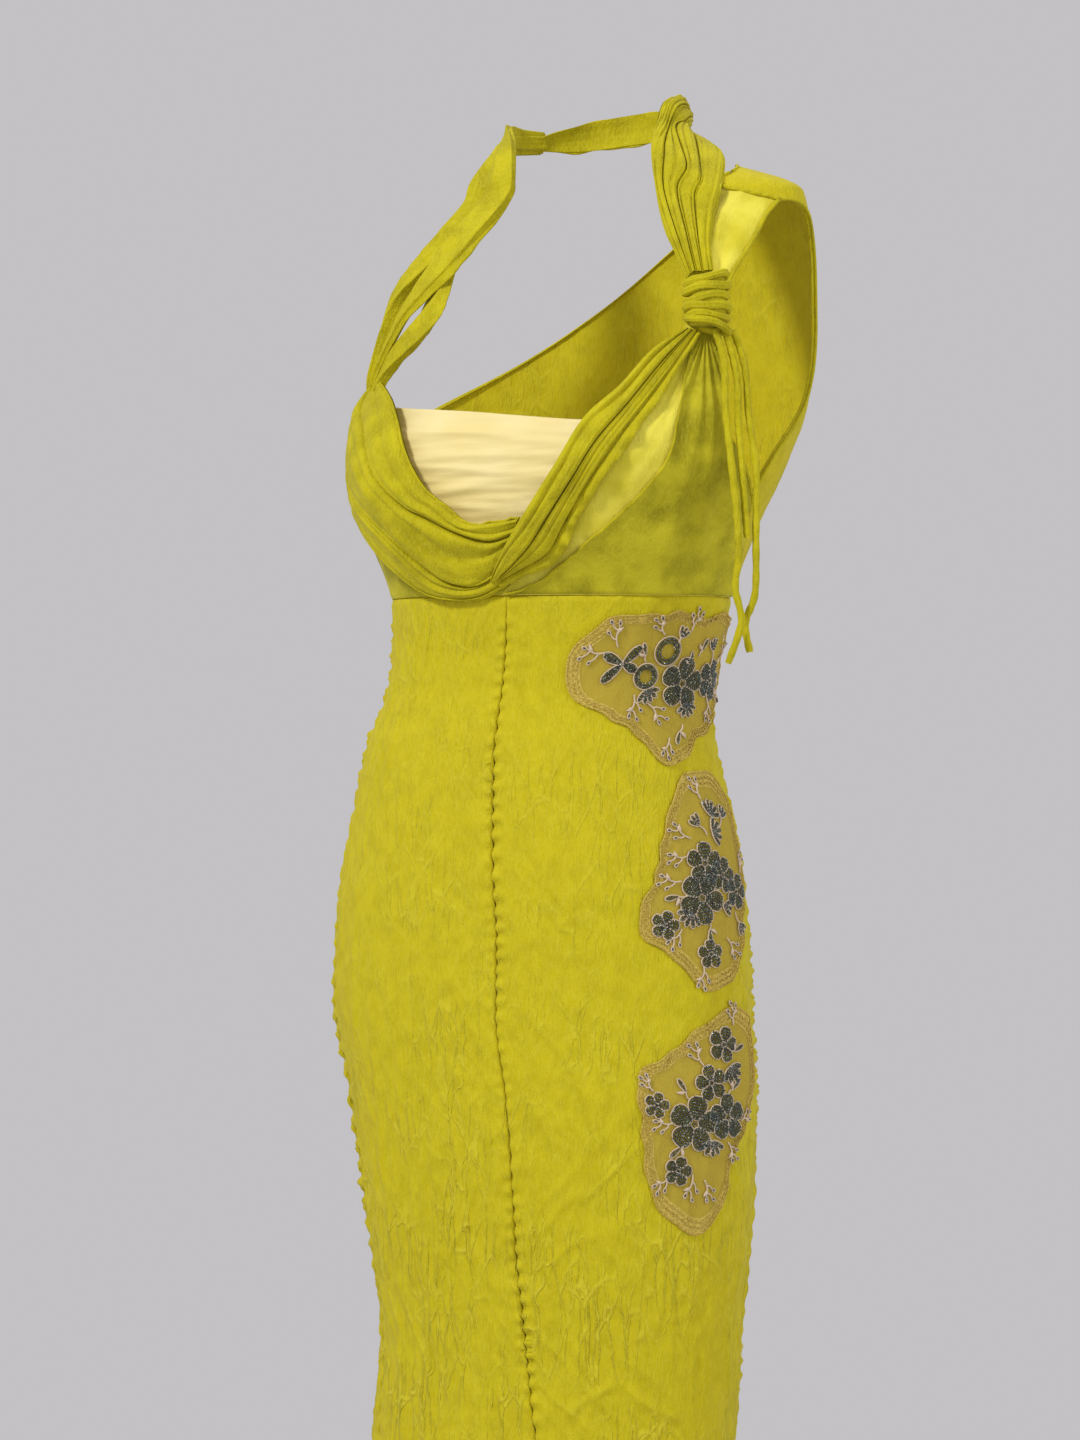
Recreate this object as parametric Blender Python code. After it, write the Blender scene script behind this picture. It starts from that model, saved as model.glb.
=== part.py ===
"""Bias-cut midi dress with a twisted cowl, a wound shoulder tie and net motifs, as it is worn.

Metres, +Z up. The front faces -Y and the wearer's left is +X. The origin is inside the neck
opening, at shoulder height, where a wearer's shoulders hold the dress up.

The figure under the cloth is a table of rings. An angle runs round each ring: 0 at the centre
front, 90 at the wearer's left, 180 at the back. A level is the height of a ring at its sides.
"""

import math

import bmesh
import bpy
from mathutils import Vector

# Driving sizes
WALL = 0.0015  # silk panels, with the layer that backs them
SCARF_WALL = 0.0013  # the cowl and collar
NET_WALL = 0.0010
SEAM_GAP = 0.0005  # between two panels along a seam
LAYER_GAP = 0.0004  # between a panel and what lies on it
SEAM_LEVEL = -0.362  # the seam under the bust
HEM_LEVEL = -1.250
SIDE_SEAM_ANGLE = 97.0  # the left side seam lies a little behind the side
RIGHT_SEAM_ANGLE = -80.0
HEM_WAVES = 8
HEM_WAVE_DEPTH = 0.011
FLARE_START = -0.98  # the level that the hem's waves rise from
SKIRT_ROWS = 23
SKIRT_ROW_EASE = 1.25  # over 1, so the skirt's rows lie closer together at the waist
SKIRT_EDGE_TRIM = 0.10  # degrees off each edge of a skirt panel, for the gap of a seam
BODICE_FOOT = SEAM_LEVEL + 0.0003  # the lower edge of the bodice, a seam's gap above the skirt

# Each row is a ring of the figure that the cloth hangs on, from the hem up. across and fore place
# its centre, left and right are its half widths, front and back its depths, and square bends it
# from an ellipse (2) to a box. front_drop and back_drop move its front and back off its level.
RING_COLUMNS = "level across fore left right front back square front_drop back_drop"
RINGS = (
    (-1.260, -0.040, 0.012, 0.188, 0.190, 0.158, 0.168, 2.0, 0, 0),
    (-1.160, -0.040, 0.011, 0.168, 0.170, 0.136, 0.142, 2.0, 0, 0),
    (-1.050, -0.039, 0.010, 0.154, 0.154, 0.118, 0.120, 2.0, 0, 0),
    (-0.970, -0.034, 0.010, 0.153, 0.153, 0.113, 0.115, 2.0, 0, 0),
    (-0.870, -0.037, 0.012, 0.165, 0.165, 0.117, 0.119, 2.0, 0, 0),
    (-0.770, -0.044, 0.016, 0.175, 0.175, 0.123, 0.127, 2.0, 0, 0),
    (-0.690, -0.054, 0.018, 0.180, 0.181, 0.126, 0.134, 2.0, 0, 0),
    (-0.610, -0.054, 0.017, 0.175, 0.176, 0.125, 0.132, 2.0, 0, 0),
    (-0.560, -0.052, 0.015, 0.168, 0.168, 0.122, 0.125, 2.0, 0, 0),
    (-0.493, -0.051, 0.010, 0.152, 0.152, 0.113, 0.114, 2.0, 0, 0),
    (-0.428, -0.038, 0.003, 0.139, 0.139, 0.100, 0.104, 2.0, 0, 0),
    (-0.362, -0.028, 0.000, 0.145, 0.145, 0.108, 0.102, 2.0, 0, 0),
    (-0.310, -0.024, -0.008, 0.163, 0.161, 0.122, 0.110, 2.1, 0, 0),
    (-0.250, -0.012, -0.005, 0.180, 0.172, 0.130, 0.110, 2.1, 0, 0),
    (-0.200, -0.004, 0.000, 0.188, 0.176, 0.122, 0.105, 2.2, 0, 0),
    (-0.120, 0.004, 0.004, 0.184, 0.170, 0.108, 0.101, 2.3, 0, 0),
    (-0.070, 0.006, 0.010, 0.178, 0.164, 0.090, 0.092, 2.2, 0, 0.004),
    (-0.034, 0.006, 0.010, 0.172, 0.160, 0.062, 0.078, 2.0, -0.016, 0.008),
    (0.000, 0.002, 0.008, 0.086, 0.080, 0.058, 0.066, 2.0, -0.040, 0.010),
    (0.018, 0.000, 0.008, 0.064, 0.062, 0.058, 0.064, 2.0, -0.040, 0.006),
    (0.070, 0.000, 0.012, 0.060, 0.060, 0.060, 0.063, 2.0, -0.010, 0.000),
)
# The bias skirt turns round the body as it hangs, and its seams turn with it, in degrees.
TWIST = (
    (-1.260, 27.0), (-1.050, 18.0), (-1.000, 13.0), (-0.950, 9.5), (-0.870, 7.0), (-0.740, 7.0),
    (-0.640, 7.5), (-0.560, 5.0), (-0.490, 4.5), (-0.430, 1.0), (-0.362, 0.0), (0.0, 0.0),
)
# The two cups: angle, level, spread across, spread up and how far each stands out.
BUST_RADIUS = 0.15
CUPS = ((36.0, -0.245, 0.062, 0.058, 0.012), (-40.0, -0.245, 0.062, 0.058, 0.012))


def eased(table, height, column):
    """A column of a table at a height, on a smooth curve through its rows that never overshoots."""
    last = len(table) - 1
    if height <= table[0][0]:
        return table[0][column]
    if height >= table[last][0]:
        return table[last][column]
    i = next(k for k in range(last) if height <= table[k + 1][0])

    def rise(k):
        return (table[k + 1][column] - table[k][column]) / (table[k + 1][0] - table[k][0])

    def slope(k):
        if k in (0, last):
            return rise(min(k, last - 1))
        before, after = rise(k - 1), rise(k)
        return 0.0 if before * after <= 0 else 2 * before * after / (before + after)

    span = table[i + 1][0] - table[i][0]
    t = (height - table[i][0]) / span
    return (
        table[i][column] * (1 + 2 * t) * (1 - t) ** 2
        + table[i + 1][column] * t * t * (3 - 2 * t)
        + span * (slope(i) * t * (1 - t) ** 2 - slope(i + 1) * t * t * (1 - t))
    )


def ring(level):
    names = RING_COLUMNS.split()
    return {name: eased(RINGS, level, k) for k, name in enumerate(names) if k}


def figure(angle, level):
    """The point of the cloth's outer face at an angle in degrees and a level."""
    r = ring(level)
    a = math.radians(angle)
    s, c = math.sin(a), math.cos(a)
    wide = r["left"] if s > 0 else r["right"]
    deep = r["front"] if c > 0 else r["back"]
    n = r["square"]
    reach = ((abs(s) / wide) ** n + (abs(c) / deep) ** n) ** (-1 / n)
    for cup_angle, cup_level, wide_by, high_by, out in CUPS:
        along_ring = math.radians((angle - cup_angle + 180) % 360 - 180) * BUST_RADIUS
        up = level - cup_level
        reach += out * math.exp(-((along_ring / wide_by) ** 2) - (up / high_by) ** 2)
    flare = max(0.0, (FLARE_START - level) / (FLARE_START - HEM_LEVEL))
    turn = math.radians(HEM_WAVES * (angle - eased(TWIST, level, 1)))
    reach += HEM_WAVE_DEPTH * flare**1.6 * math.sin(turn)
    drop = r["front_drop"] * max(0.0, c) ** 2 + r["back_drop"] * max(0.0, -c) ** 2
    return Vector((r["across"] + reach * s, r["fore"] - reach * c, level + drop))


def on_figure(angle, level, lift=0.0):
    """A point that stands off the figure by lift, square to the figure there."""
    if not lift:
        return figure(angle, level)
    round_it = figure(angle + 0.5, level) - figure(angle - 0.5, level)
    up_it = figure(angle, level + 0.001) - figure(angle, level - 0.001)
    return figure(angle, level) + round_it.cross(up_it).normalized() * lift


def along(rows, t):
    """Every column of a short table at t from 0 to 1, on a smooth curve through its rows."""
    last = len(rows) - 1
    place = min(max(t, 0.0), 1.0) * last
    i = min(int(place), last - 1)
    f = place - i
    before, here, there, after = (rows[min(max(i + k, 0), last)] for k in (-1, 0, 1, 2))
    point = [
        0.5 * (2 * b + (c - a) * f + (2 * a - 5 * b + 4 * c - d) * f * f + (3 * b - a - 3 * c + d) * f**3)
        for a, b, c, d in zip(before, here, there, after)
    ]
    if t < 0 or t > 1:  # a hair past the end, where only a slope is wanted
        end, next_in = (0, 1) if t < 0 else (last, last - 1)
        over = (t if t < 0 else t - 1) * last * (1 if t < 0 else -1)
        point = [e + (n - e) * over for e, n in zip(rows[end], rows[next_in])]
    return point


def smooth(t):
    t = min(max(t, 0.0), 1.0)
    return t * t * (3 - 2 * t)


def finish(name, hex_colour, roughness):
    """A cloth finish: a Principled material of one colour, with the soft sheen that cloth has."""
    material = bpy.data.materials.new(name)
    material.use_nodes = True
    shader = material.node_tree.nodes["Principled BSDF"]
    channels = [int(hex_colour[i : i + 2], 16) / 255 for i in (0, 2, 4)]
    linear = [((c + 0.055) / 1.055) ** 2.4 if c > 0.04045 else c / 12.92 for c in channels]
    shader.inputs["Base Color"].default_value = (*linear, 1)
    shader.inputs["Roughness"].default_value = roughness
    shader.inputs["Metallic"].default_value = 0.0
    return material


def add_object(name, shape, material):
    """A finished solid. One whose volume counts as negative is inside out, so it is turned."""
    bmesh.ops.triangulate(shape, faces=shape.faces[:])
    if shape.calc_volume(signed=True) < 0:
        bmesh.ops.reverse_faces(shape, faces=shape.faces[:])
    mesh = bpy.data.meshes.new(name)
    shape.to_mesh(mesh)
    shape.free()
    mesh.materials.append(material)
    mesh.shade_smooth()
    mesh.set_sharp_from_angle(angle=math.radians(50))
    piece = bpy.data.objects.new(name, mesh)
    bpy.context.scene.collection.objects.link(piece)
    return piece


def outward(face, u, v):
    """The outward direction of a cloth face at (u, v), from its slopes there."""
    step = 0.002
    across = face(u + step, v) - face(u - step, v)
    up = face(u, v + step) - face(u, v - step)
    return across.cross(up).normalized()


def cloth(name, face, columns, rows, wall, material):
    """A closed wall of cloth: a flat slab bent so that its outer side follows face(u, v)."""
    slab = bmesh.new()
    bmesh.ops.create_grid(slab, x_segments=columns, y_segments=rows, size=0.5)
    lower = bmesh.ops.extrude_face_region(slab, geom=slab.faces[:], use_keep_orig=True)
    sunk = [g for g in lower["geom"] if isinstance(g, bmesh.types.BMVert)]
    bmesh.ops.translate(slab, verts=sunk, vec=(0, 0, -1))
    bmesh.ops.recalc_face_normals(slab, faces=slab.faces[:])
    for vert in slab.verts:
        u, v, inward = vert.co.x + 0.5, vert.co.y + 0.5, vert.co.z < -0.5
        point = face(u, v)
        if inward:
            point -= outward(face, u, v) * wall
        vert.co = point
    return add_object(name, slab, material)


# Skirt ---------------------------------------------------------------------------------------


def skirt_panel(name, first_seam, last_seam, columns, material):
    """A skirt panel between two seams, given by their angles before the skirt turns."""
    first = first_seam + SKIRT_EDGE_TRIM
    last = last_seam - SKIRT_EDGE_TRIM

    def face(u, v):
        fall = max(0.0, 1 - v) ** SKIRT_ROW_EASE
        level = SEAM_LEVEL - SEAM_GAP / 2 + (HEM_LEVEL - SEAM_LEVEL) * fall
        return on_figure(first + (last - first) * u + eased(TWIST, level, 1), level)

    return cloth(name, face, columns, SKIRT_ROWS, WALL, material)


# Bodice --------------------------------------------------------------------------------------
# Each bodice panel spans two edges. A row gives both edges at the same height of the panel.
EDGE_COLUMNS = "first_angle first_level last_angle last_level"
FRONT_LEFT_EDGES = (  # the middle, under the cowl, to the left side seam and the armhole
    (0.1, BODICE_FOOT, 96.9, BODICE_FOOT),
    (6.0, -0.350, 91.0, -0.325),
    (16.0, -0.330, 83.0, -0.285),
    (28.0, -0.285, 73.0, -0.256),
    (38.0, -0.235, 64.0, -0.228),
    (46.0, -0.185, 61.0, -0.190),
    (53.0, -0.141, 60.0, -0.141),
)
FRONT_RIGHT_EDGES = (  # the right side seam up to the underarm, to the middle under the cowl
    (-79.8, BODICE_FOOT, -0.1, BODICE_FOOT),
    (-79.8, -0.335, -14.0, -0.349),
    (-79.8, -0.305, -28.0, -0.335),
    (-79.8, -0.275, -41.0, -0.310),
    (-79.8, -0.245, -52.0, -0.270),
    (-79.0, -0.215, -60.0, -0.215),
)
BACK_EDGES = (  # the left side seam and armhole to the right side seam and the slanting top edge
    (97.1, BODICE_FOOT, 279.9, BODICE_FOOT),
    (91.5, -0.325, 279.9, -0.328),
    (84.0, -0.284, 279.9, -0.290),
    (84.0, -0.255, 278.0, -0.252),
    (91.0, -0.215, 262.0, -0.215),
    (99.0, -0.165, 235.0, -0.168),
    (103.0, -0.120, 205.0, -0.120),
    (101.0, -0.080, 168.0, -0.074),
    (95.0, -0.056, 128.0, -0.036),
    (87.0, -0.0445, 96.0, -0.012),
    (81.7, -0.0436, 66.3, -0.0271),
)
YOKE_EDGES = (  # the edge under the collar to the armhole, from the knot up to the shoulder seam
    (53.0, -0.1300, 60.5, -0.1300),
    (52.0, -0.105, 64.0, -0.106),
    (52.0, -0.080, 69.0, -0.084),
    (55.0, -0.055, 75.0, -0.061),
    (66.0, -0.0275, 81.4, -0.0440),
)
BANDEAU_SIDE_ANGLE = 78.0
BANDEAU_FOOT = SEAM_LEVEL + 0.002
BANDEAU_TOP = -0.2175
BANDEAU_TOP_SLANT = 0.00022  # its top edge sinks by this much for each degree to the left
BANDEAU_DEPTH = WALL + 2 * LAYER_GAP  # how far it lies inside the bodice at its foot
BANDEAU_EASE = 0.0028  # and how much farther from there up, clear of the faceted bodice


def bodice_panel(name, edges, columns, rows, material, gathers=0, gather_depth=0.0):
    """A bodice panel between two edges. Its gathers run up it and deepen towards its top."""

    def face(u, v):
        first_angle, first_level, last_angle, last_level = along(edges, v)
        angle = first_angle + (last_angle - first_angle) * u
        level = first_level + (last_level - first_level) * u
        fold = math.sin(math.pi * u) * (0.5 - 0.5 * math.cos(2 * math.pi * gathers * u))
        return on_figure(angle, level, gather_depth * smooth(v) * smooth(4 - 4 * v) * fold)

    return cloth(name, face, columns, rows, WALL, material)


def bandeau(material):
    """The plain band across the bust, under the sheer bodice and inside the cowl."""

    def face(u, v):
        angle = BANDEAU_SIDE_ANGLE * (2 * u - 1)
        top = BANDEAU_TOP - BANDEAU_TOP_SLANT * angle
        level = BANDEAU_FOOT + (top - BANDEAU_FOOT) * v
        return on_figure(angle, level, -BANDEAU_DEPTH - BANDEAU_EASE * smooth(3 * v))

    return cloth("bandeau", face, 26, 6, WALL, material)


# Scarf ---------------------------------------------------------------------------------------
# A stretch of the scarf is a loose bundle of cloth, hollow and open at its ends. A row gives its
# middle line, how far that stands off the figure, and the half width and half depth of the bundle.
BUNDLE_COLUMNS = "angle level lift half_width half_depth"
BUNDLE_SIDES = 12
BUNDLE_FLUTES = 3
BUNDLE_SWELL = 0.16  # how far the flutes stand out, as a share of the bundle's half width
STRAP_RIGHT = (
    (-112, 0.014, 0.011, 0.014, 0.0070),
    (-86, 0.013, 0.011, 0.014, 0.0075),
    (-62, 0.004, 0.012, 0.015, 0.0080),
    (-52, -0.022, 0.013, 0.017, 0.0085),
    (-48, -0.051, 0.013, 0.018, 0.0085),
    (-46, -0.082, 0.013, 0.018, 0.0085),
    (-48, -0.109, 0.014, 0.019, 0.0085),
    (-50, -0.135, 0.014, 0.020, 0.0085),
    (-54, -0.160, 0.014, 0.017, 0.0085),
    (-62.0, -0.1835, 0.013, 0.008, 0.0065),
)
COLLAR_LEFT = (
    (54.5, -0.1118, 0.0100, 0.011, 0.0065),
    (53, -0.089, 0.0100, 0.015, 0.0070),
    (56, -0.058, 0.0105, 0.018, 0.0075),
    (62, -0.026, 0.0110, 0.018, 0.0080),
    (75, 0.002, 0.0115, 0.017, 0.0080),
    (88, 0.022, 0.0115, 0.016, 0.0080),
    (104, 0.030, 0.0110, 0.016, 0.0075),
    (120, 0.031, 0.0105, 0.016, 0.0070),
)
COLLAR_BACK = (
    (122.0, 0.031, 0.0105, 0.016, 0.0070),
    (150, 0.028, 0.0100, 0.017, 0.0070),
    (180, 0.026, 0.0100, 0.018, 0.0070),
    (215, 0.020, 0.0105, 0.017, 0.0070),
    (247.2, 0.014, 0.0110, 0.014, 0.0070),
)
COWL_ROLL = (
    (-4, -0.346, 0.0155, 0.004, 0.0040),
    (4, -0.325, 0.0160, 0.011, 0.0070),
    (13, -0.309, 0.0150, 0.015, 0.0085),
    (21, -0.288, 0.0140, 0.018, 0.0085),
    (26, -0.265, 0.0135, 0.018, 0.0085),
    (31, -0.241, 0.0130, 0.017, 0.0085),
    (37, -0.215, 0.0130, 0.016, 0.0080),
    (43, -0.189, 0.0130, 0.014, 0.0080),
    (52.0, -0.1553, 0.0118, 0.009, 0.0070),
)
# The right side of the cowl is one wall in soft folds. A row gives its outer edge, its inner edge,
# how far it stands off the figure and how high its folds rise.
COWL_COLUMNS = "outer_angle outer_level inner_angle inner_level stand fold"
COWL_RIGHT = (
    (-68, -0.1905, -58, -0.1905, 0.0100, 0.004),
    (-76, -0.225, -46, -0.216, 0.0080, 0.009),
    (-74, -0.265, -37, -0.243, 0.0050, 0.012),
    (-64, -0.302, -29, -0.271, 0.0024, 0.013),
    (-51, -0.335, -19, -0.296, 0.0024, 0.013),
    (-36, -0.358, -9, -0.303, 0.0024, 0.013),
    (-20, -0.364, -3, -0.306, 0.0026, 0.012),
    (-9.0, -0.360, -1.0, -0.320, 0.0040, 0.008),
)
COWL_FOLDS = 4


def bundle(name, rows, steps, turns, material):
    """A stretch of the scarf: a fluted tube of cloth that follows the figure and twists."""

    def middle(v):
        angle, level, lift = along(rows, v)[:3]
        return on_figure(angle, level, lift)

    def face(u, v):
        angle, level, lift, half_width, half_depth = along(rows, v)
        centre = middle(v)
        ahead = (middle(v + 0.01) - middle(v - 0.01)).normalized()
        out = centre - on_figure(angle, level, lift - 0.01)
        across = ahead.cross(out).normalized()
        out = across.cross(ahead).normalized()
        turn = 2 * math.pi * u
        swell = 1 + BUNDLE_SWELL * math.cos(BUNDLE_FLUTES * turn + 2 * math.pi * turns * v)
        spoke = across * half_width * math.cos(turn) + out * half_depth * math.sin(turn)
        return centre + swell * spoke

    tube = bmesh.new()
    bmesh.ops.create_cone(tube, segments=BUNDLE_SIDES, radius1=1, radius2=1, depth=1, cap_ends=False)
    long_edges = [e for e in tube.edges if abs(e.verts[0].co.z - e.verts[1].co.z) > 0.5]
    bmesh.ops.subdivide_edges(tube, edges=long_edges, cuts=steps - 1)
    inner = bmesh.ops.extrude_face_region(tube, geom=tube.faces[:], use_keep_orig=True)
    inside = {g for g in inner["geom"] if isinstance(g, bmesh.types.BMVert)}
    for vert in tube.verts:
        u = (math.atan2(vert.co.y, vert.co.x) / (2 * math.pi)) % 1.0
        v = vert.co.z + 0.5
        point = face(u, v)
        if vert in inside:
            point += (middle(v) - point).normalized() * SCARF_WALL
        vert.co = point
    bmesh.ops.recalc_face_normals(tube, faces=tube.faces[:])
    return add_object(name, tube, material)


def cowl_right(material):
    """The wide side of the cowl, from the pinch under the strap round to the middle front."""

    def face(u, v):
        outer_angle, outer_level, inner_angle, inner_level, stand, fold = along(COWL_RIGHT, u)
        angle = outer_angle + (inner_angle - outer_angle) * v
        level = outer_level + (inner_level - outer_level) * v
        ridge = 0.5 - 0.5 * math.cos(2 * math.pi * COWL_FOLDS * v)
        return on_figure(angle, level, stand + fold * ridge)

    return cloth("cowl_right", face, 4 * COWL_FOLDS, 16, SCARF_WALL, material)


# Tie -----------------------------------------------------------------------------------------
KNOT_ANGLE = 56.5
KNOT_LEVELS = (-0.154, -0.1140)
KNOT_LIFT = 0.0017  # of its inner side, off the cloth that it gathers
KNOT_HALF_WIDTH = 0.0185
KNOT_HALF_DEPTH = 0.0135
KNOT_WRAPS = 5
KNOT_RIDGE = 0.0014
KNOT_TAPER = 0.10  # how much narrower it is at its ends, as a share of its half width
TIE_WIDTH = 0.0062
TIE_STEP = 0.016
# The routes of the three loose strands, from under the knot down to their cut ends.
TIE_ROUTES = {
    "tie_long": (
        (0.1470, -0.0985, -0.1536), (0.1505, -0.0965, -0.1640), (0.1545, -0.0955, -0.1820),
        (0.1550, -0.0950, -0.2130), (0.1585, -0.0930, -0.2520), (0.1625, -0.0900, -0.2960),
        (0.1630, -0.0870, -0.3310), (0.1600, -0.0860, -0.3570), (0.1640, -0.0840, -0.3840),
        (0.1530, -0.0840, -0.4160),
    ),
    "tie_middle": (
        (0.1527, -0.0927, -0.1545), (0.1565, -0.0900, -0.1650), (0.1625, -0.0880, -0.1950),
        (0.1630, -0.0875, -0.2240), (0.1645, -0.0860, -0.2520), (0.1665, -0.0835, -0.2870),
        (0.1680, -0.0810, -0.3170),
    ),
    "tie_short": (
        (0.1580, -0.0872, -0.1545), (0.1615, -0.0835, -0.1645), (0.1670, -0.0820, -0.1860),
        (0.1690, -0.0800, -0.2210), (0.1740, -0.0770, -0.2650), (0.1730, -0.0750, -0.3130),
        (0.1720, -0.0740, -0.3600), (0.1630, -0.0720, -0.3840), (0.1665, -0.0715, -0.4070),
    ),
}


def knot(material):
    """The tie wound round the gathered shoulder: a barrel with a ridge for each turn."""
    barrel = bmesh.new()
    bmesh.ops.create_cone(barrel, segments=16, radius1=1, radius2=1, depth=1, cap_ends=True)
    upright = [e for e in barrel.edges if abs(e.verts[0].co.z - e.verts[1].co.z) > 0.5]
    bmesh.ops.subdivide_edges(barrel, edges=upright, cuts=3 * KNOT_WRAPS - 1)
    low, high = (on_figure(KNOT_ANGLE, level, KNOT_HALF_DEPTH + KNOT_LIFT) for level in KNOT_LEVELS)
    out = (high - on_figure(KNOT_ANGLE, KNOT_LEVELS[1], 0)).normalized()
    axis = high - low
    across = axis.cross(out).normalized()
    out = across.cross(axis).normalized()
    for vert in barrel.verts:
        height = vert.co.z + 0.5
        ridge = KNOT_RIDGE * math.cos(2 * math.pi * KNOT_WRAPS * height)
        taper = 1 - KNOT_TAPER * (2 * height - 1) ** 2
        wide = KNOT_HALF_WIDTH * taper - ridge
        deep = KNOT_HALF_DEPTH * taper - ridge
        vert.co = low + axis * height + across * wide * vert.co.x + out * deep * vert.co.y
    bmesh.ops.recalc_face_normals(barrel, faces=barrel.faces[:])
    return add_object("knot_wrap", barrel, material)


def tie(name, route, material):
    """A loose strand of the tie: a round tube of cloth along its route, closed at its cut ends."""
    points = [Vector(along(route, k / 100)) for k in range(101)]
    length = sum((b - a).length for a, b in zip(points, points[1:]))
    count = round(length / TIE_STEP)
    curve = bpy.data.curves.new(name, "CURVE")
    curve.dimensions = "3D"
    spline = curve.splines.new("POLY")
    spline.points.add(count)
    for k, point in enumerate(spline.points):
        point.co = (*along(route, k / count), 1)
    curve.bevel_depth = TIE_WIDTH / 2
    curve.bevel_resolution = 2
    curve.use_fill_caps = True
    curve.materials.append(material)
    strand = bpy.data.objects.new(name, curve)
    bpy.context.scene.collection.objects.link(strand)
    return strand


# Net motifs ----------------------------------------------------------------------------------
# Each motif is a piece of net on the left hip. A row gives its middle, the radius of the hip there
# in millimetres, and how far its edge reaches in millimetres in twelve directions, from its back
# edge round by the top.
NET_COLUMNS = "name angle level hip_radius twelve_reaches"
NET_MOTIFS = (
    ("net_waist", 70.0, -0.425, 142, (88, 92, 56, 53, 58, 85, 102, 66, 57, 74, 61, 74)),
    ("net_hip", 76.0, -0.592, 168, (58, 66, 90, 91, 64, 50, 51, 73, 70, 88, 73, 55)),
    ("net_thigh", 72.0, -0.778, 170, (52, 80, 98, 73, 60, 68, 59, 66, 86, 94, 50, 44)),
)
NET_SPOKES = 30
NET_INSETS = (0.25, 0.25, 0.22, 0.18)  # the rings of the mesh, in from the edge
SCALLOPS = 15
SCALLOP_DEPTH = 0.0025
NET_LIFT = NET_WALL + 0.0013  # a little over a layer's gap, because the hip is faceted


def net_motif(name, angle, level, hip_radius, reaches, material):
    """A piece of net with a scalloped edge, lying on the skirt."""
    outline = [(reach / 1000,) for reach in reaches + reaches[:1]]

    def place(ring_size, turn, lift):
        reach = along(outline, turn / (2 * math.pi))[0]
        reach -= SCALLOP_DEPTH * (0.5 - 0.5 * math.cos(SCALLOPS * turn))
        across, up = ring_size * reach * math.cos(turn), ring_size * reach * math.sin(turn)
        return on_figure(angle + math.degrees(across * 1000 / hip_radius), level + up, lift)

    disc = bmesh.new()
    bmesh.ops.create_circle(disc, segments=NET_SPOKES, radius=1, cap_ends=True)
    for depth in NET_INSETS:
        middle = min(disc.faces, key=lambda f: f.calc_center_median().length)
        bmesh.ops.inset_region(disc, faces=[middle], thickness=depth, use_boundary=True)
    under = bmesh.ops.extrude_face_region(disc, geom=disc.faces[:], use_keep_orig=True)
    sunk = {g for g in under["geom"] if isinstance(g, bmesh.types.BMVert)}
    for vert in disc.verts:
        lift = NET_LIFT - (NET_WALL if vert in sunk else 0)
        turn = math.atan2(vert.co.y, vert.co.x) % (2 * math.pi)
        vert.co = place(min(1.0, vert.co.xy.length), turn, lift)
    bmesh.ops.recalc_face_normals(disc, faces=disc.faces[:])
    return add_object(name, disc, material)


# The dress -----------------------------------------------------------------------------------


def main():
    for old in list(bpy.data.objects):
        bpy.data.objects.remove(old, do_unlink=True)
    georgette = finish("silk georgette, chartreuse", "B9AA1A", 0.72)
    sheer = finish("silk georgette, one layer, lighter", "C6BC3C", 0.70)
    plain_silk = finish("cream silk, matt", "EAD9A6", 0.60)
    net = finish("fine net, tan", "AF9743", 0.65)

    skirt_panel("skirt_front_right", RIGHT_SEAM_ANGLE, 0.0, 14, georgette)
    skirt_panel("skirt_front_left", 0.0, SIDE_SEAM_ANGLE, 18, georgette)
    skirt_panel("skirt_back", SIDE_SEAM_ANGLE, RIGHT_SEAM_ANGLE + 360, 28, georgette)

    bodice_panel("bodice_front_left", FRONT_LEFT_EDGES, 16, 10, sheer, 4, 0.0030)
    bodice_panel("bodice_front_right", FRONT_RIGHT_EDGES, 12, 8, sheer)
    bodice_panel("bodice_back", BACK_EDGES, 20, 13, georgette)
    bodice_panel("yoke_left", YOKE_EDGES, 6, 5, sheer)
    bandeau(plain_silk)

    bundle("strap_right", STRAP_RIGHT, 18, 1.2, georgette)
    bundle("collar_back", COLLAR_BACK, 12, 0.3, georgette)
    bundle("collar_left", COLLAR_LEFT, 14, 0.4, georgette)
    bundle("cowl_roll", COWL_ROLL, 16, 0.5, georgette)
    cowl_right(georgette)

    knot(georgette)
    for name, route in TIE_ROUTES.items():
        tie(name, route, georgette)
    for name, angle, level, hip_radius, reaches in NET_MOTIFS:
        net_motif(name, angle, level, hip_radius, reaches, net)


main()
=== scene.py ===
"""The looks of a midi dress: crinkled georgette, a twisted scarf, a wound tie and beaded net.

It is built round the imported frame, in metres, with the front facing -Y and the wearer's left at
+X. The cloth follows the same figure as the frame's solids: an angle runs round it from the
centre front (0) by the wearer's left (90), and a level is a height at its sides.
"""

import math

import bmesh
import bpy
import numpy as np
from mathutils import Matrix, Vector, noise


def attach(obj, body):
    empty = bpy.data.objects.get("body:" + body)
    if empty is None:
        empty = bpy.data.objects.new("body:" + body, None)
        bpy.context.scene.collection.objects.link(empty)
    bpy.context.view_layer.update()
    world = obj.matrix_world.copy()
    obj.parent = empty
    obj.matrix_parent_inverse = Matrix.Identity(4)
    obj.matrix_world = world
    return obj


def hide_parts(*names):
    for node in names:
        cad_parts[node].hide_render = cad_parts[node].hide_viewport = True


bl_info = {
    "name": "Midi Dress with Twisted Scarf",
    "version": (1, 0, 0),
    "blender": (4, 5, 0),
    "location": "View3D > Sidebar > Dress",
    "description": "Dresses a packed frame in crinkled georgette, a twisted scarf and beaded net",
    "category": "Add Mesh",
}

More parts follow.
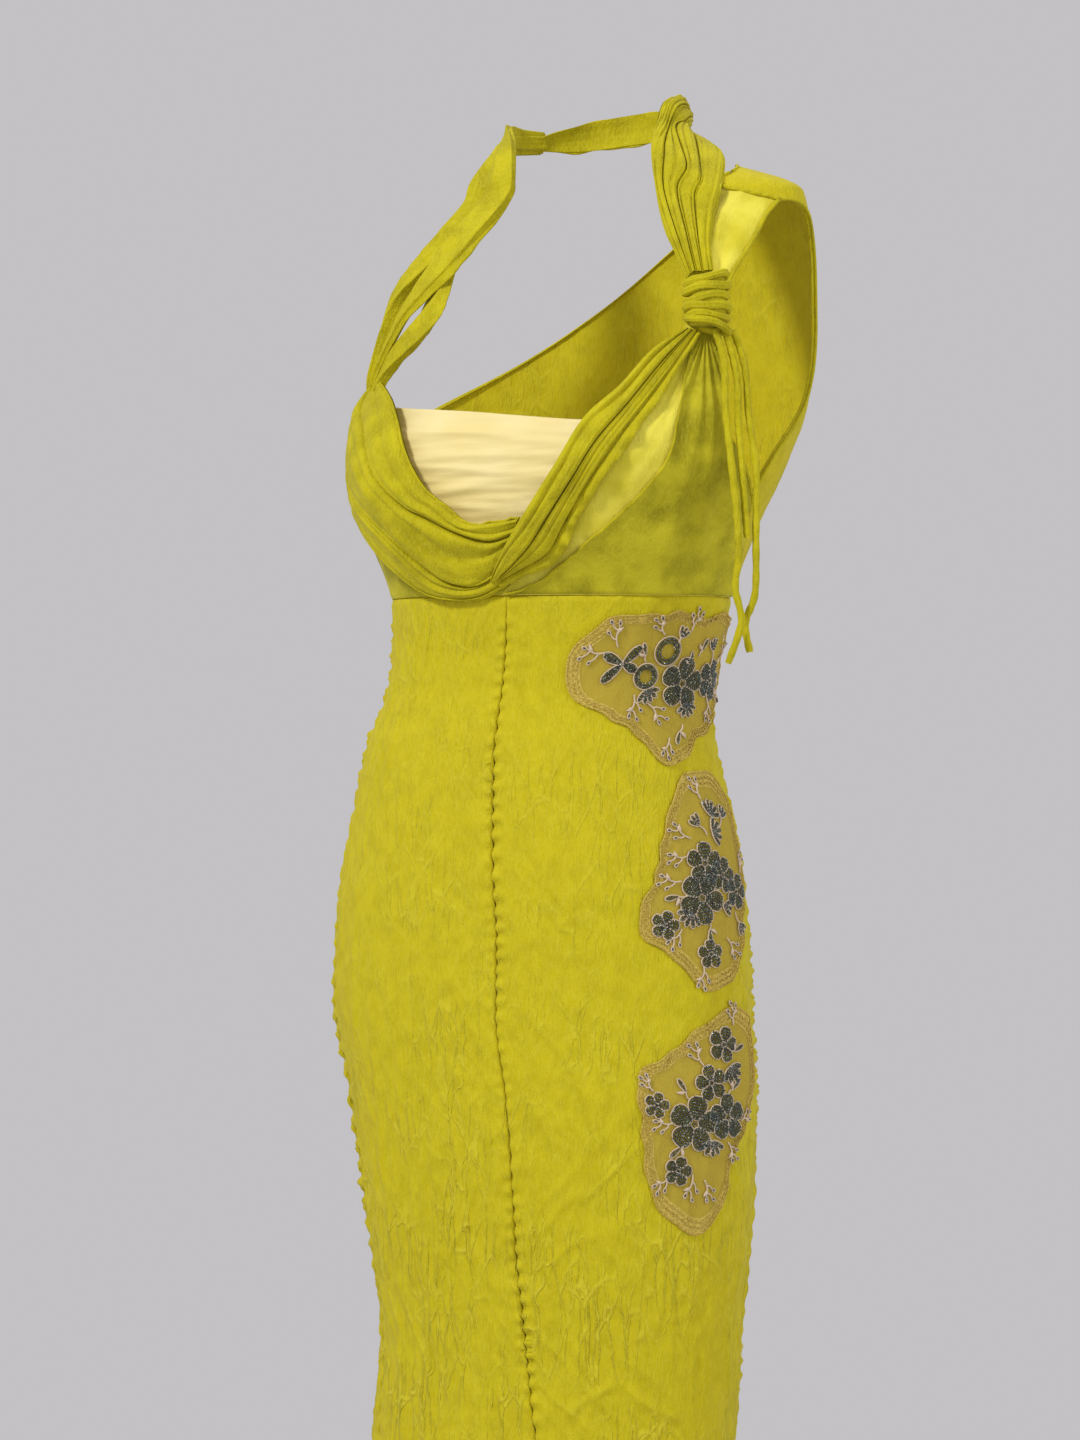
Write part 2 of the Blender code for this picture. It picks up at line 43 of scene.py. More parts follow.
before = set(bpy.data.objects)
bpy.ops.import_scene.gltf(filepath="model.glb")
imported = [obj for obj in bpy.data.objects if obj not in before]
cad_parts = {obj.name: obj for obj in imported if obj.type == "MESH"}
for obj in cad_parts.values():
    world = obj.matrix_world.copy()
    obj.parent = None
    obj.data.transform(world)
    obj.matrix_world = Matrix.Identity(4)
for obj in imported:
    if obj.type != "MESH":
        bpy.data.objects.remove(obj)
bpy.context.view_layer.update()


def linear(hex_colour):
    """An sRGB hex colour as the linear values that Blender's colours use."""
    channels = [int(hex_colour[i : i + 2], 16) / 255 for i in (0, 2, 4)]
    return tuple(((c + 0.055) / 1.055) ** 2.4 if c > 0.04045 else c / 12.92 for c in channels)


# Figure --------------------------------------------------------------------------------------
SEAM_LEVEL = -0.362  # the seam under the bust
HEM_LEVEL = -1.250
HEM_WAVES = 8
HEM_WAVE_DEPTH = 0.011
FLARE_START = -0.98
GIRTH_RADIUS = 0.158  # turns an angle into a distance round the cloth, near enough for creases
# Rings of the figure from the hem up. across and fore place a ring's centre, left and right are
# its half widths, front and back its depths, square bends it from an ellipse (2) to a box.
RING_COLUMNS = "level across fore left right front back square front_drop back_drop".split()
RINGS = (
    (-1.260, -0.040, 0.012, 0.188, 0.190, 0.158, 0.168, 2.0, 0, 0),
    (-1.160, -0.040, 0.011, 0.168, 0.170, 0.136, 0.142, 2.0, 0, 0),
    (-1.050, -0.039, 0.010, 0.154, 0.154, 0.118, 0.120, 2.0, 0, 0),
    (-0.970, -0.034, 0.010, 0.153, 0.153, 0.113, 0.115, 2.0, 0, 0),
    (-0.870, -0.037, 0.012, 0.165, 0.165, 0.117, 0.119, 2.0, 0, 0),
    (-0.770, -0.044, 0.016, 0.175, 0.175, 0.123, 0.127, 2.0, 0, 0),
    (-0.690, -0.054, 0.018, 0.180, 0.181, 0.126, 0.134, 2.0, 0, 0),
    (-0.610, -0.054, 0.017, 0.175, 0.176, 0.125, 0.132, 2.0, 0, 0),
    (-0.560, -0.052, 0.015, 0.168, 0.168, 0.122, 0.125, 2.0, 0, 0),
    (-0.493, -0.051, 0.010, 0.152, 0.152, 0.113, 0.114, 2.0, 0, 0),
    (-0.428, -0.038, 0.003, 0.139, 0.139, 0.100, 0.104, 2.0, 0, 0),
    (-0.362, -0.028, 0.000, 0.145, 0.145, 0.108, 0.102, 2.0, 0, 0),
    (-0.310, -0.024, -0.008, 0.163, 0.161, 0.122, 0.110, 2.1, 0, 0),
    (-0.250, -0.012, -0.005, 0.180, 0.172, 0.130, 0.110, 2.1, 0, 0),
    (-0.200, -0.004, 0.000, 0.188, 0.176, 0.122, 0.105, 2.2, 0, 0),
    (-0.120, 0.004, 0.004, 0.184, 0.170, 0.108, 0.101, 2.3, 0, 0),
    (-0.070, 0.006, 0.010, 0.178, 0.164, 0.090, 0.092, 2.2, 0, 0.004),
    (-0.034, 0.006, 0.010, 0.172, 0.160, 0.062, 0.078, 2.0, -0.016, 0.008),
    (0.000, 0.002, 0.008, 0.086, 0.080, 0.058, 0.066, 2.0, -0.040, 0.010),
    (0.018, 0.000, 0.008, 0.064, 0.062, 0.058, 0.064, 2.0, -0.040, 0.006),
    (0.070, 0.000, 0.012, 0.060, 0.060, 0.060, 0.063, 2.0, -0.010, 0.000),
)
# The bias skirt turns round the body as it hangs, in degrees at each level.
TWIST = (
    (-1.260, 27.0), (-1.050, 18.0), (-1.000, 13.0), (-0.950, 9.5), (-0.870, 7.0), (-0.740, 7.0),
    (-0.640, 7.5), (-0.560, 5.0), (-0.490, 4.5), (-0.430, 1.0), (-0.362, 0.0), (0.0, 0.0),
)
# The two cups: angle, level, spread across, spread up and how far each stands out.
BUST_RADIUS = 0.15
CUPS = ((36.0, -0.245, 0.062, 0.058, 0.012), (-40.0, -0.245, 0.062, 0.058, 0.012))


def eased(table, column, heights):
    """A column of a table at many heights, on a smooth curve that never overshoots its rows."""
    rows = np.array(table, float)
    x, y = rows[:, 0], rows[:, column]
    rise = np.diff(y) / np.diff(x)
    before, after = rise[:-1], rise[1:]
    steady = before * after > 0
    inner = np.zeros(len(before))
    inner[steady] = 2 * (before * after)[steady] / (before + after)[steady]
    slope = np.concatenate((rise[:1], inner, rise[-1:]))
    i = np.clip(np.searchsorted(x, heights) - 1, 0, len(x) - 2)
    span = x[i + 1] - x[i]
    t = np.clip((heights - x[i]) / span, 0, 1)
    ends = y[i] * (1 + 2 * t) * (1 - t) ** 2 + y[i + 1] * t * t * (3 - 2 * t)
    return ends + span * (slope[i] * t * (1 - t) ** 2 - slope[i + 1] * t * t * (1 - t))


def figure(angle, level):
    """Points of the cloth's smooth outer face, at angles in degrees and levels."""
    r = {name: eased(RINGS, k, level) for k, name in enumerate(RING_COLUMNS) if k}
    s, c = np.sin(np.radians(angle)), np.cos(np.radians(angle))
    wide = np.where(s > 0, r["left"], r["right"])
    deep = np.where(c > 0, r["front"], r["back"])
    n = r["square"]
    reach = ((np.abs(s) / wide) ** n + (np.abs(c) / deep) ** n) ** (-1 / n)
    for cup_angle, cup_level, wide_by, high_by, out in CUPS:
        aside = np.radians((angle - cup_angle + 180) % 360 - 180) * BUST_RADIUS / wide_by
        reach = reach + out * np.exp(-(aside**2) - ((level - cup_level) / high_by) ** 2)
    flare = np.maximum(0.0, (FLARE_START - level) / (FLARE_START - HEM_LEVEL))
    turn = np.radians(HEM_WAVES * (angle - eased(TWIST, 1, level)))
    reach = reach + HEM_WAVE_DEPTH * flare**1.6 * np.sin(turn)
    drop = r["front_drop"] * np.maximum(0, c) ** 2 + r["back_drop"] * np.maximum(0, -c) ** 2
    return np.stack((r["across"] + reach * s, r["fore"] - reach * c, level + drop), axis=-1)


def unit(vectors):
    """Vectors brought to a length of 1."""
    return vectors / np.maximum(np.linalg.norm(vectors, axis=-1, keepdims=True), 1e-12)


def on_figure(angle, level, lift):
    """Points that stand off the figure by lift, square to it."""
    angle, level, lift = np.broadcast_arrays(*(np.asarray(x, float) for x in (angle, level, lift)))
    round_it = figure(angle + 0.5, level) - figure(angle - 0.5, level)
    up_it = figure(angle, level + 0.001) - figure(angle, level - 0.001)
    return figure(angle, level) + unit(np.cross(round_it, up_it)) * lift[..., None]


def along(rows, t):
    """Every column of a short table at t from 0 to 1, on a smooth curve through its rows."""
    table = np.array(rows, float)
    last = len(table) - 1
    place = np.clip(t, 0, 1) * last
    i = np.minimum(place.astype(int), last - 1)
    f = (place - i)[..., None]
    a, b, c, d = (table[np.clip(i + k, 0, last)] for k in (-1, 0, 1, 2))
    bend = (2 * a - 5 * b + 4 * c - d) * f**2 + (3 * b - a - 3 * c + d) * f**3
    return np.moveaxis((2 * b + (c - a) * f + bend) / 2, -1, 0)


def course(rows, t):
    """A line laid over the figure: its points at t from 0 to 1, and which way is out there. Its
    rows start with an angle, a level and how far it stands off the figure in mm."""
    angle, level, lift = np.array(rows, float).T[:3]
    at = on_figure(angle, level, lift / 1000)
    out = unit(on_figure(angle, level, lift / 1000 + 0.01) - at)
    both = np.moveaxis(along(np.hstack((at, out)), t), 0, -1)
    return both[..., :3], unit(both[..., 3:])


def smooth(t):
    """A soft step from 0 to 1."""
    t = np.clip(t, 0, 1)
    return t * t * (3 - 2 * t)


# Creases -------------------------------------------------------------------------------------
# The network of the crushed cloth: spacing and length in metres, lean in degrees, how sharp each
# ridge is, and its height in metres.
CRUMPLE = (
    (0.018, 0.110, 8.0, 0.15, 0.00085), (0.015, 0.085, -12.0, 0.14, 0.00075),
    (0.024, 0.110, 36.0, 0.12, 0.00080), (0.022, 0.100, -42.0, 0.12, 0.00070),
)


def lumps(across, up, wide, high, seed):
    """Soft noise from -1 to 1 over the cloth, in lumps of a width and a height in metres."""
    places = zip((across / wide).ravel(), (up / high).ravel())
    values = [noise.noise((a, b, 7.31 * seed)) for a, b in places]
    return np.array(values).reshape(np.shape(across))


def wandering(across, up, spacing, length, lean, sharpness, seed):
    """Thin ridges from 0 to 1 that wander over the cloth, leaning by an angle from upright."""
    s, c = math.sin(math.radians(lean)), math.cos(math.radians(lean))
    field = lumps(across * c + up * s, up * c - across * s, spacing, length, seed)
    return np.exp(-((field / sharpness) ** 2))


def crumple(across, up, seed):
    """The fine network of creases that the crushed cloth has all over, in metres."""
    height = np.zeros(np.shape(across))
    for k, (spacing, length, lean, sharpness, high) in enumerate(CRUMPLE):
        strength = 0.55 + 0.9 * lumps(across, up, 0.09, 0.13, seed + 20 + k)
        ridge = wandering(across, up, spacing, length, lean, sharpness, seed + k)
        height += high * np.clip(strength, 0.1, 1.3) * ridge
    return height


def crease_lines(across, up, table):
    """Creases given one by one. A row: start and end (mm round the cloth and down from the seam
    under the bust), width, height (below 0 for a trough) and bow, all in millimetres."""
    height = np.zeros(np.shape(across))
    x, y = across * 1000, (SEAM_LEVEL - up) * 1000
    for x0, y0, x1, y1, width, high, bow in table:
        length = math.hypot(x1 - x0, y1 - y0)
        ax, ay = (x1 - x0) / length, (y1 - y0) / length
        t = ((x - x0) * ax + (y - y0) * ay) / length
        arch = bow * 4 * t * (1 - t)
        off = (y - y0) * ax - (x - x0) * ay - arch
        taper = smooth(4 * t) * smooth(4 * (1 - t)) * ((t > 0) & (t < 1))
        height += high / 1000 * taper * np.exp(-((off / width) ** 2))
    return height


# Meshes --------------------------------------------------------------------------------------


def as_mesh(name, body):
    """The mesh of a bmesh, which is freed."""
    mesh = bpy.data.meshes.new(name)
    body.to_mesh(mesh)
    body.free()
    return mesh


def add_object(name, data):
    """A new object in the scene."""
    made = bpy.data.objects.new(name, data)
    bpy.context.scene.collection.objects.link(made)
    return made


def grid_mesh(name, columns, rows, place, size, closed=False):
    """A sheet: a flat grid whose points move to place(u, v). closed sews its sides and ends."""
    grid = bmesh.new()
    bmesh.ops.create_grid(grid, x_segments=columns, y_segments=rows, size=0.5)
    mesh = as_mesh(name, grid)
    flat = np.empty(len(mesh.vertices) * 3)
    mesh.vertices.foreach_get("co", flat)
    u, v = flat[0::3] + 0.5, flat[1::3] + 0.5
    mesh.vertices.foreach_set("co", place(u, v).ravel())
    corners = np.empty(len(mesh.loops), int)
    mesh.loops.foreach_get("vertex_index", corners)
    cloth_map = mesh.uv_layers.new(name="cloth")
    width, length = size
    places = np.stack((u[corners] * width, v[corners] * length), axis=-1)
    cloth_map.data.foreach_set("uv", places.ravel())
    if closed:
        body = bmesh.new()
        body.from_mesh(mesh)
        bmesh.ops.remove_doubles(body, verts=body.verts[:], dist=1e-6)
        bmesh.ops.dissolve_degenerate(body, edges=body.edges[:], dist=1e-7)
        bmesh.ops.recalc_face_normals(body, faces=body.faces[:])
        body.to_mesh(mesh)
        body.free()
    mesh.update()
    return mesh


def add_piece(name, mesh, material, nodes=(), wall=0.0):
    """A finished piece of the dress. wall is its cloth's thickness, inwards from its face."""
    piece = add_object(name, mesh)
    if material.name not in mesh.materials:
        mesh.materials.append(material)
    mesh.shade_smooth()
    if wall:
        thick = piece.modifiers.new("Cloth thickness", "SOLIDIFY")
        thick.thickness = wall
        thick.offset = -1
    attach(piece, "root")
    if nodes:
        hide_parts(*nodes)
    return piece


def thread_mesh(name, paths, sides=6):
    """Round threads in one mesh. paths holds (points, radius or radii) for each thread."""
    body = bmesh.new()
    for points, radius in paths:
        points = np.array(points, float)
        count = len(points)
        radii = np.broadcast_to(radius, count)
        ahead = unit(np.gradient(points, axis=0))
        side = unit(np.cross(ahead, np.array((0.31, 0.87, 0.38))))
        other = np.cross(ahead, side)
        tube = bmesh.new()
        bmesh.ops.create_cone(tube, segments=sides, radius1=1, radius2=1, depth=1, cap_ends=True)
        upright = [e for e in tube.edges if abs(e.verts[0].co.z - e.verts[1].co.z) > 0.5]
        if count > 2:
            bmesh.ops.subdivide_edges(tube, edges=upright, cuts=count - 2)
        for vert in tube.verts:
            k = min(round((vert.co.z + 0.5) * (count - 1)), count - 1)
            offset = side[k] * vert.co.x + other[k] * vert.co.y
            vert.co = Vector(points[k] + offset * radii[k])
        part = as_mesh("thread", tube)
        body.from_mesh(part)
        bpy.data.meshes.remove(part)
    bmesh.ops.recalc_face_normals(body, faces=body.faces[:])
    return as_mesh(name, body)


# Materials -----------------------------------------------------------------------------------


def set_inputs(node, inputs):
    """Gives a node's sockets their values, or links them to the sockets that feed them."""
    for name, value in inputs.items():
        socket = node.inputs[name]
        if isinstance(value, bpy.types.NodeSocket):
            node.id_data.links.new(value, socket)
        else:
            socket.default_value = (*value, 1) if socket.type == "RGBA" else value


def add_node(material, kind, inputs, **settings):
    """Adds a node with its settings, its values and its links."""
    node = material.node_tree.nodes.new(kind)
    for key, value in settings.items():
        setattr(node, key, value)
    set_inputs(node, inputs)
    return node


def new_material(name):
    """A material, its shader, and the place on the dress that its patterns read."""
    material = bpy.data.materials.new(name)
    material.use_nodes = True
    at = add_node(material, "ShaderNodeTexCoord", {}).outputs["Object"]
    return material, material.node_tree.nodes["Principled BSDF"], at


MIX_FIRST, MIX_SECOND, MIXED = 6, 7, 2  # the colour sockets of a Mix node


def ridge_lines(material, at, lean, width, height, sharpness):
    """Thin crease lines: the borders of cells of a width and a height in metres, that lean."""
    turned = add_node(material, "ShaderNodeMapping",
                      {"Vector": at, "Rotation": lean, "Scale": (1, 1, width / height)})
    cells = add_node(material, "ShaderNodeTexVoronoi",
                     {"Vector": turned.outputs[0], "Scale": 1 / width}, feature="DISTANCE_TO_EDGE")
    line = add_node(material, "ShaderNodeMapRange",
                    {"Value": cells.outputs["Distance"], "From Max": sharpness, "To Min": 1.0,
                     "To Max": 0.0}, interpolation_type="SMOOTHSTEP")
    return line.outputs[0]


def georgette(name, colour, shade, pale, grain=1.0, alpha=1.0, cloud=0.014, crush=1.0):
    """Silk georgette: a crepe weave of hard-twisted yarn, matt and slightly pebbled. It was
    crushed when wet, so that thin creases cross it, with a painted highlight along their ridges.
    grain and crush are how strongly those two show, and cloud is the size of a cloud of dye in
    metres."""
    material, shader, at = new_material(name)
    # Crush creases, bent by a slow noise: tall ones 12 x 70 mm and slanting ones 20 x 85 mm.
    bend = add_node(material, "ShaderNodeTexNoise",
                    {"Vector": at, "Scale": 1 / 0.030, "Detail": 2.0})
    bent = add_node(material, "ShaderNodeVectorMath",
                    {0: bend.outputs["Color"], "Scale": 0.009}, operation="SCALE")
    moved = add_node(material, "ShaderNodeVectorMath", {0: bent.outputs[0], 1: at},
                     operation="ADD").outputs[0]
    tall = ridge_lines(material, moved, (0.05, 0.16, 0.1), 0.012, 0.070, 0.060)
    slanting = ridge_lines(material, moved, (0.05, -0.50, 0.2), 0.020, 0.085, 0.042)
    both = add_node(material, "ShaderNodeMath", {0: tall, 1: slanting}, operation="MAXIMUM")
    # They come in patches of 60 mm, and the hem was crushed harder than the waist.
    where = add_node(material, "ShaderNodeTexNoise",
                     {"Vector": at, "Scale": 1 / 0.06, "Detail": 2.0})
    patchy = add_node(material, "ShaderNodeMapRange",
                      {"Value": where.outputs["Fac"], "From Min": 0.38, "From Max": 0.62})
    height = add_node(material, "ShaderNodeSeparateXYZ", {"Vector": at})
    harder = add_node(material, "ShaderNodeMapRange",
                      {"Value": height.outputs["Z"], "From Min": -0.55, "From Max": -0.95,
                       "To Min": 0.45, "To Max": 1.0})
    amount = add_node(material, "ShaderNodeMath", {0: patchy.outputs[0], 1: harder.outputs[0]},
                      operation="MULTIPLY")
    network = add_node(material, "ShaderNodeMath", {0: both.outputs[0], 1: amount.outputs[0]},
                       operation="MULTIPLY").outputs[0]
    # Crepe grain: the yarn's own pebble is under 1 mm, and is drawn 1.6 mm wide so that it shows.
    pebble = add_node(material, "ShaderNodeTexNoise",
                      {"Vector": at, "Scale": 1 / 0.0016, "Detail": 2.0, "Roughness": 0.7})
    # The weave lies on the bias: two sets of fine slanting streaks, 1.6 mm wide and 7 mm long.
    streaks = []
    for slant in (0.78, -0.78):
        turned = add_node(material, "ShaderNodeMapping",
                          {"Vector": at, "Rotation": (0, slant, 0), "Scale": (1, 1, 0.23)})
        streak = add_node(material, "ShaderNodeTexNoise",
                          {"Vector": turned.outputs[0], "Scale": 1 / 0.0016, "Detail": 1.0})
        streaks.append(streak.outputs["Fac"])
    weave = add_node(material, "ShaderNodeMath", {0: streaks[0], 1: streaks[1]}, operation="ADD")
    surface = add_node(material, "ShaderNodeMath",
                       {0: weave.outputs[0], 1: pebble.outputs["Fac"]}, operation="ADD").outputs[0]
    fine = add_node(material, "ShaderNodeBump",
                    {"Height": surface, "Strength": 0.75 * grain, "Distance": 0.0006})
    creased = add_node(material, "ShaderNodeBump",
                       {"Height": network, "Strength": 0.75 * crush, "Distance": 0.0015,
                        "Normal": fine.outputs[0]})
    # The dye took a little unevenly, in clouds. Painted highlights: pale flecks on the grain's
    # highest points, and a pale line along each crease's ridge.
    clouds = add_node(material, "ShaderNodeTexNoise",
                      {"Vector": at, "Scale": 1 / cloud, "Detail": 4.0})
    patch = add_node(material, "ShaderNodeMapRange",
                     {"Value": clouds.outputs["Fac"], "From Min": 0.32, "From Max": 0.62})
    dyed = add_node(material, "ShaderNodeMix",
                    {"Factor": patch.outputs[0], MIX_FIRST: shade, MIX_SECOND: colour},
                    data_type="RGBA")
    # Painted highlight: pale flecks on the highest points of the grain.
    grain_highlight = add_node(material, "ShaderNodeMapRange",
                     {"Value": surface, "From Min": 1.30, "From Max": 1.95, "To Max": 0.30})
    speckled = add_node(material, "ShaderNodeMix",
                        {"Factor": grain_highlight.outputs[0], MIX_FIRST: dyed.outputs[MIXED],
                         MIX_SECOND: pale}, data_type="RGBA")
    # Painted highlight: the ridge of each crease is mixed towards the pale colour.
    highlit = add_node(material, "ShaderNodeMath", {0: network, 1: 0.36 * crush},
                    operation="MULTIPLY")
    cloth = add_node(material, "ShaderNodeMix",
                     {"Factor": highlit.outputs[0], MIX_FIRST: speckled.outputs[MIXED],
                      MIX_SECOND: pale}, data_type="RGBA")
    set_inputs(shader, {
        "Base Color": cloth.outputs[MIXED], "Normal": creased.outputs[0], "Roughness": 0.72,
        "Sheen Weight": 0.03, "Sheen Roughness": 0.45, "Specular IOR Level": 0.16, "Alpha": alpha,
    })
    return material


def cream_silk(name, colour, shade):
    """Habotai silk, plain woven and matt: smooth, with a faint crosswise thread. The thread is
    drawn 1.8 mm wide, because the real one is too fine to show."""
    material, shader, at = new_material(name)
    flat = add_node(material, "ShaderNodeMapping", {"Vector": at, "Scale": (0.12, 0.12, 1)})
    thread = add_node(material, "ShaderNodeTexNoise",
                      {"Vector": flat.outputs[0], "Scale": 1 / 0.0018, "Detail": 2.0})
    soft = add_node(material, "ShaderNodeTexNoise",
                    {"Vector": at, "Scale": 1 / 0.0025, "Detail": 2.0})
    both = add_node(material, "ShaderNodeMath",
                    {0: thread.outputs["Fac"], 1: soft.outputs["Fac"]}, operation="ADD")
    bump = add_node(material, "ShaderNodeBump",
                    {"Height": both.outputs[0], "Strength": 0.30, "Distance": 0.0005})
    # Painted shade: the cream as it looks in its hollows is mixed in, in random clouds of 50 mm.
    cloud = add_node(material, "ShaderNodeTexNoise",
                     {"Vector": at, "Scale": 1 / 0.05, "Detail": 2.0})
    cloth = add_node(material, "ShaderNodeMix",
                     {"Factor": cloud.outputs["Fac"], MIX_FIRST: shade, MIX_SECOND: colour},
                     data_type="RGBA")
    set_inputs(shader, {
        "Base Color": cloth.outputs[MIXED], "Normal": bump.outputs[0], "Roughness": 0.62,
        "Sheen Weight": 0.15,
    })
    return material


def net_cloth(name, colour, shade, alpha, stitched):
    """Fine nylon tulle, heat-set. Its mesh is under 1 mm, so it is drawn as an even veil. Where
    it is stitched down, loops of tan thread fill it, 3.5 mm apart."""
    material, shader, at = new_material(name)
    loops = add_node(material, "ShaderNodeTexVoronoi", {"Vector": at, "Scale": 1 / 0.0035},
                     feature="DISTANCE_TO_EDGE")
    line = add_node(material, "ShaderNodeMapRange",
                    {"Value": loops.outputs["Distance"], "From Max": 0.16, "To Min": 1.0,
                     "To Max": 0.0})
    fine = add_node(material, "ShaderNodeTexNoise",
                    {"Vector": at, "Scale": 1 / 0.0015, "Detail": 2.0})
    amount = add_node(material, "ShaderNodeMath", {0: line.outputs[0], 1: stitched},
                      operation="MULTIPLY")
    height = add_node(material, "ShaderNodeMath", {0: amount.outputs[0], 1: fine.outputs["Fac"]},
                      operation="ADD")
    bump = add_node(material, "ShaderNodeBump",
                    {"Height": height.outputs[0], "Strength": 0.5, "Distance": 0.0008})
    thread = add_node(material, "ShaderNodeMix",
                      {"Factor": amount.outputs[0], MIX_FIRST: shade, MIX_SECOND: colour},
                      data_type="RGBA")
    set_inputs(shader, {
        "Base Color": thread.outputs[MIXED], "Normal": bump.outputs[0], "Roughness": 0.70,
        "Alpha": alpha,
    })
    return material


def bead_glass(name, colour, shade, silver):
    """Pressed glass beads, dark teal with a metallic lustre, and painted glints: pale spots mixed
    into the colour on about one bead in eight.
    """
    material, shader, at = new_material(name)
    mixed = add_node(material, "ShaderNodeTexNoise",
                     {"Vector": at, "Scale": 1 / 0.004, "Detail": 1.0})
    spread = add_node(material, "ShaderNodeMapRange",
                      {"Value": mixed.outputs["Fac"], "From Min": 0.38, "From Max": 0.62})
    dark = add_node(material, "ShaderNodeMix",
                    {"Factor": spread.outputs[0], MIX_FIRST: shade, MIX_SECOND: colour},
                    data_type="RGBA")
    # Painted glints: pale spots 1.6 mm across, where a fine noise is high.
    fine = add_node(material, "ShaderNodeTexNoise",
                    {"Vector": at, "Scale": 1 / 0.0016, "Detail": 0.0})
    dotted = add_node(material, "ShaderNodeMapRange",
                     {"Value": fine.outputs["Fac"], "From Min": 0.65, "From Max": 0.70})
    glass = add_node(material, "ShaderNodeMix",
                     {"Factor": dotted.outputs[0], MIX_FIRST: dark.outputs[MIXED],
                      MIX_SECOND: silver}, data_type="RGBA")
    set_inputs(shader, {"Base Color": glass.outputs[MIXED], "Roughness": 0.16, "Metallic": 0.35,
                        "Coat Weight": 1.0})
    return material


def satin_thread(name, colour, shade):
    """Rayon cord, twisted and satin bright: pale, with a fine twist 1.2 mm long."""
    material, shader, at = new_material(name)
    twist = add_node(material, "ShaderNodeTexNoise",
                     {"Vector": at, "Scale": 1 / 0.0012, "Detail": 1.0})
    # Painted shade: the twist shows only in the colour, which is darker between the twists.
    cord = add_node(material, "ShaderNodeMix",
                    {"Factor": twist.outputs["Fac"], MIX_FIRST: shade, MIX_SECOND: colour},
                    data_type="RGBA")
    set_inputs(shader, {"Base Color": cord.outputs[MIXED], "Roughness": 0.45,
                        "Sheen Weight": 0.2})
    return material


# The finishes: who makes it, the material's name, its colours in the panel and its settings.
FINISHES = {
    "georgette": (georgette, "silk georgette, crushed, chartreuse",
                  "georgette georgette_shade georgette_pale", {}),
    "scarf": (georgette, "silk georgette, several layers", "scarf scarf_shade georgette_pale",
              {"grain": 1.3, "cloud": 0.02, "crush": 0.3}),
    "sheer": (georgette, "silk georgette, one sheer layer", "sheer sheer_shade georgette_pale",
              {"grain": 0.8, "alpha": 0.93, "cloud": 0.035, "crush": 0.15}),
    "window": (georgette, "silk georgette, one layer over white",
               "window window_shade georgette_pale",
               {"grain": 0.8, "alpha": 0.90, "cloud": 0.03, "crush": 0.0}),
    "cream": (cream_silk, "habotai silk, cream", "cream cream_shade", {}),
    "net": (net_cloth, "nylon tulle, tan", "net net_shade", {"alpha": 0.46, "stitched": 0.15}),
    "stitched net": (net_cloth, "nylon tulle, stitched", "net_pale net_shade",
                     {"alpha": 0.78, "stitched": 0.9}),
    "bead": (bead_glass, "pressed glass, dark teal", "bead bead_shade bead_silver", {}),
    "thread": (satin_thread, "rayon cord, ecru", "thread thread_shade", {}),
}
MATERIALS = {}


def finish(kind):
    """The material of a finish, made once from the colours in the panel."""
    if kind not in MATERIALS:
        make, name, keys, settings = FINISHES[kind]
        colours = [getattr(bpy.context.scene.dress_colours, key) for key in keys.split()]
        MATERIALS[kind] = make(name, *colours, **settings)
    return MATERIALS[kind]


# Skirt ---------------------------------------------------------------------------------------
FRONT_SEAM = 0.0
LEFT_SEAM = 97.0  # the left side seam lies a little behind the side
RIGHT_SEAM = -80.0
SEAM_TRIM = 0.10  # degrees off each edge of a panel
SKIRT_SEAMS = (  # angle, pucker height mm on its first and its second side, spacing mm, phase
    (RIGHT_SEAM, 2.6, 2.6, 16.5, 0.4),
    (FRONT_SEAM, 1.5, 2.3, 13.0, 1.1),
    (LEFT_SEAM, 2.4, 2.4, 15.5, 2.0),
)
PUCKER_REACH = 0.0065
SEAM_GROOVE = 0.0016
SEAM_ALLOWANCE = 0.004  # how deep the edge of a panel turns in
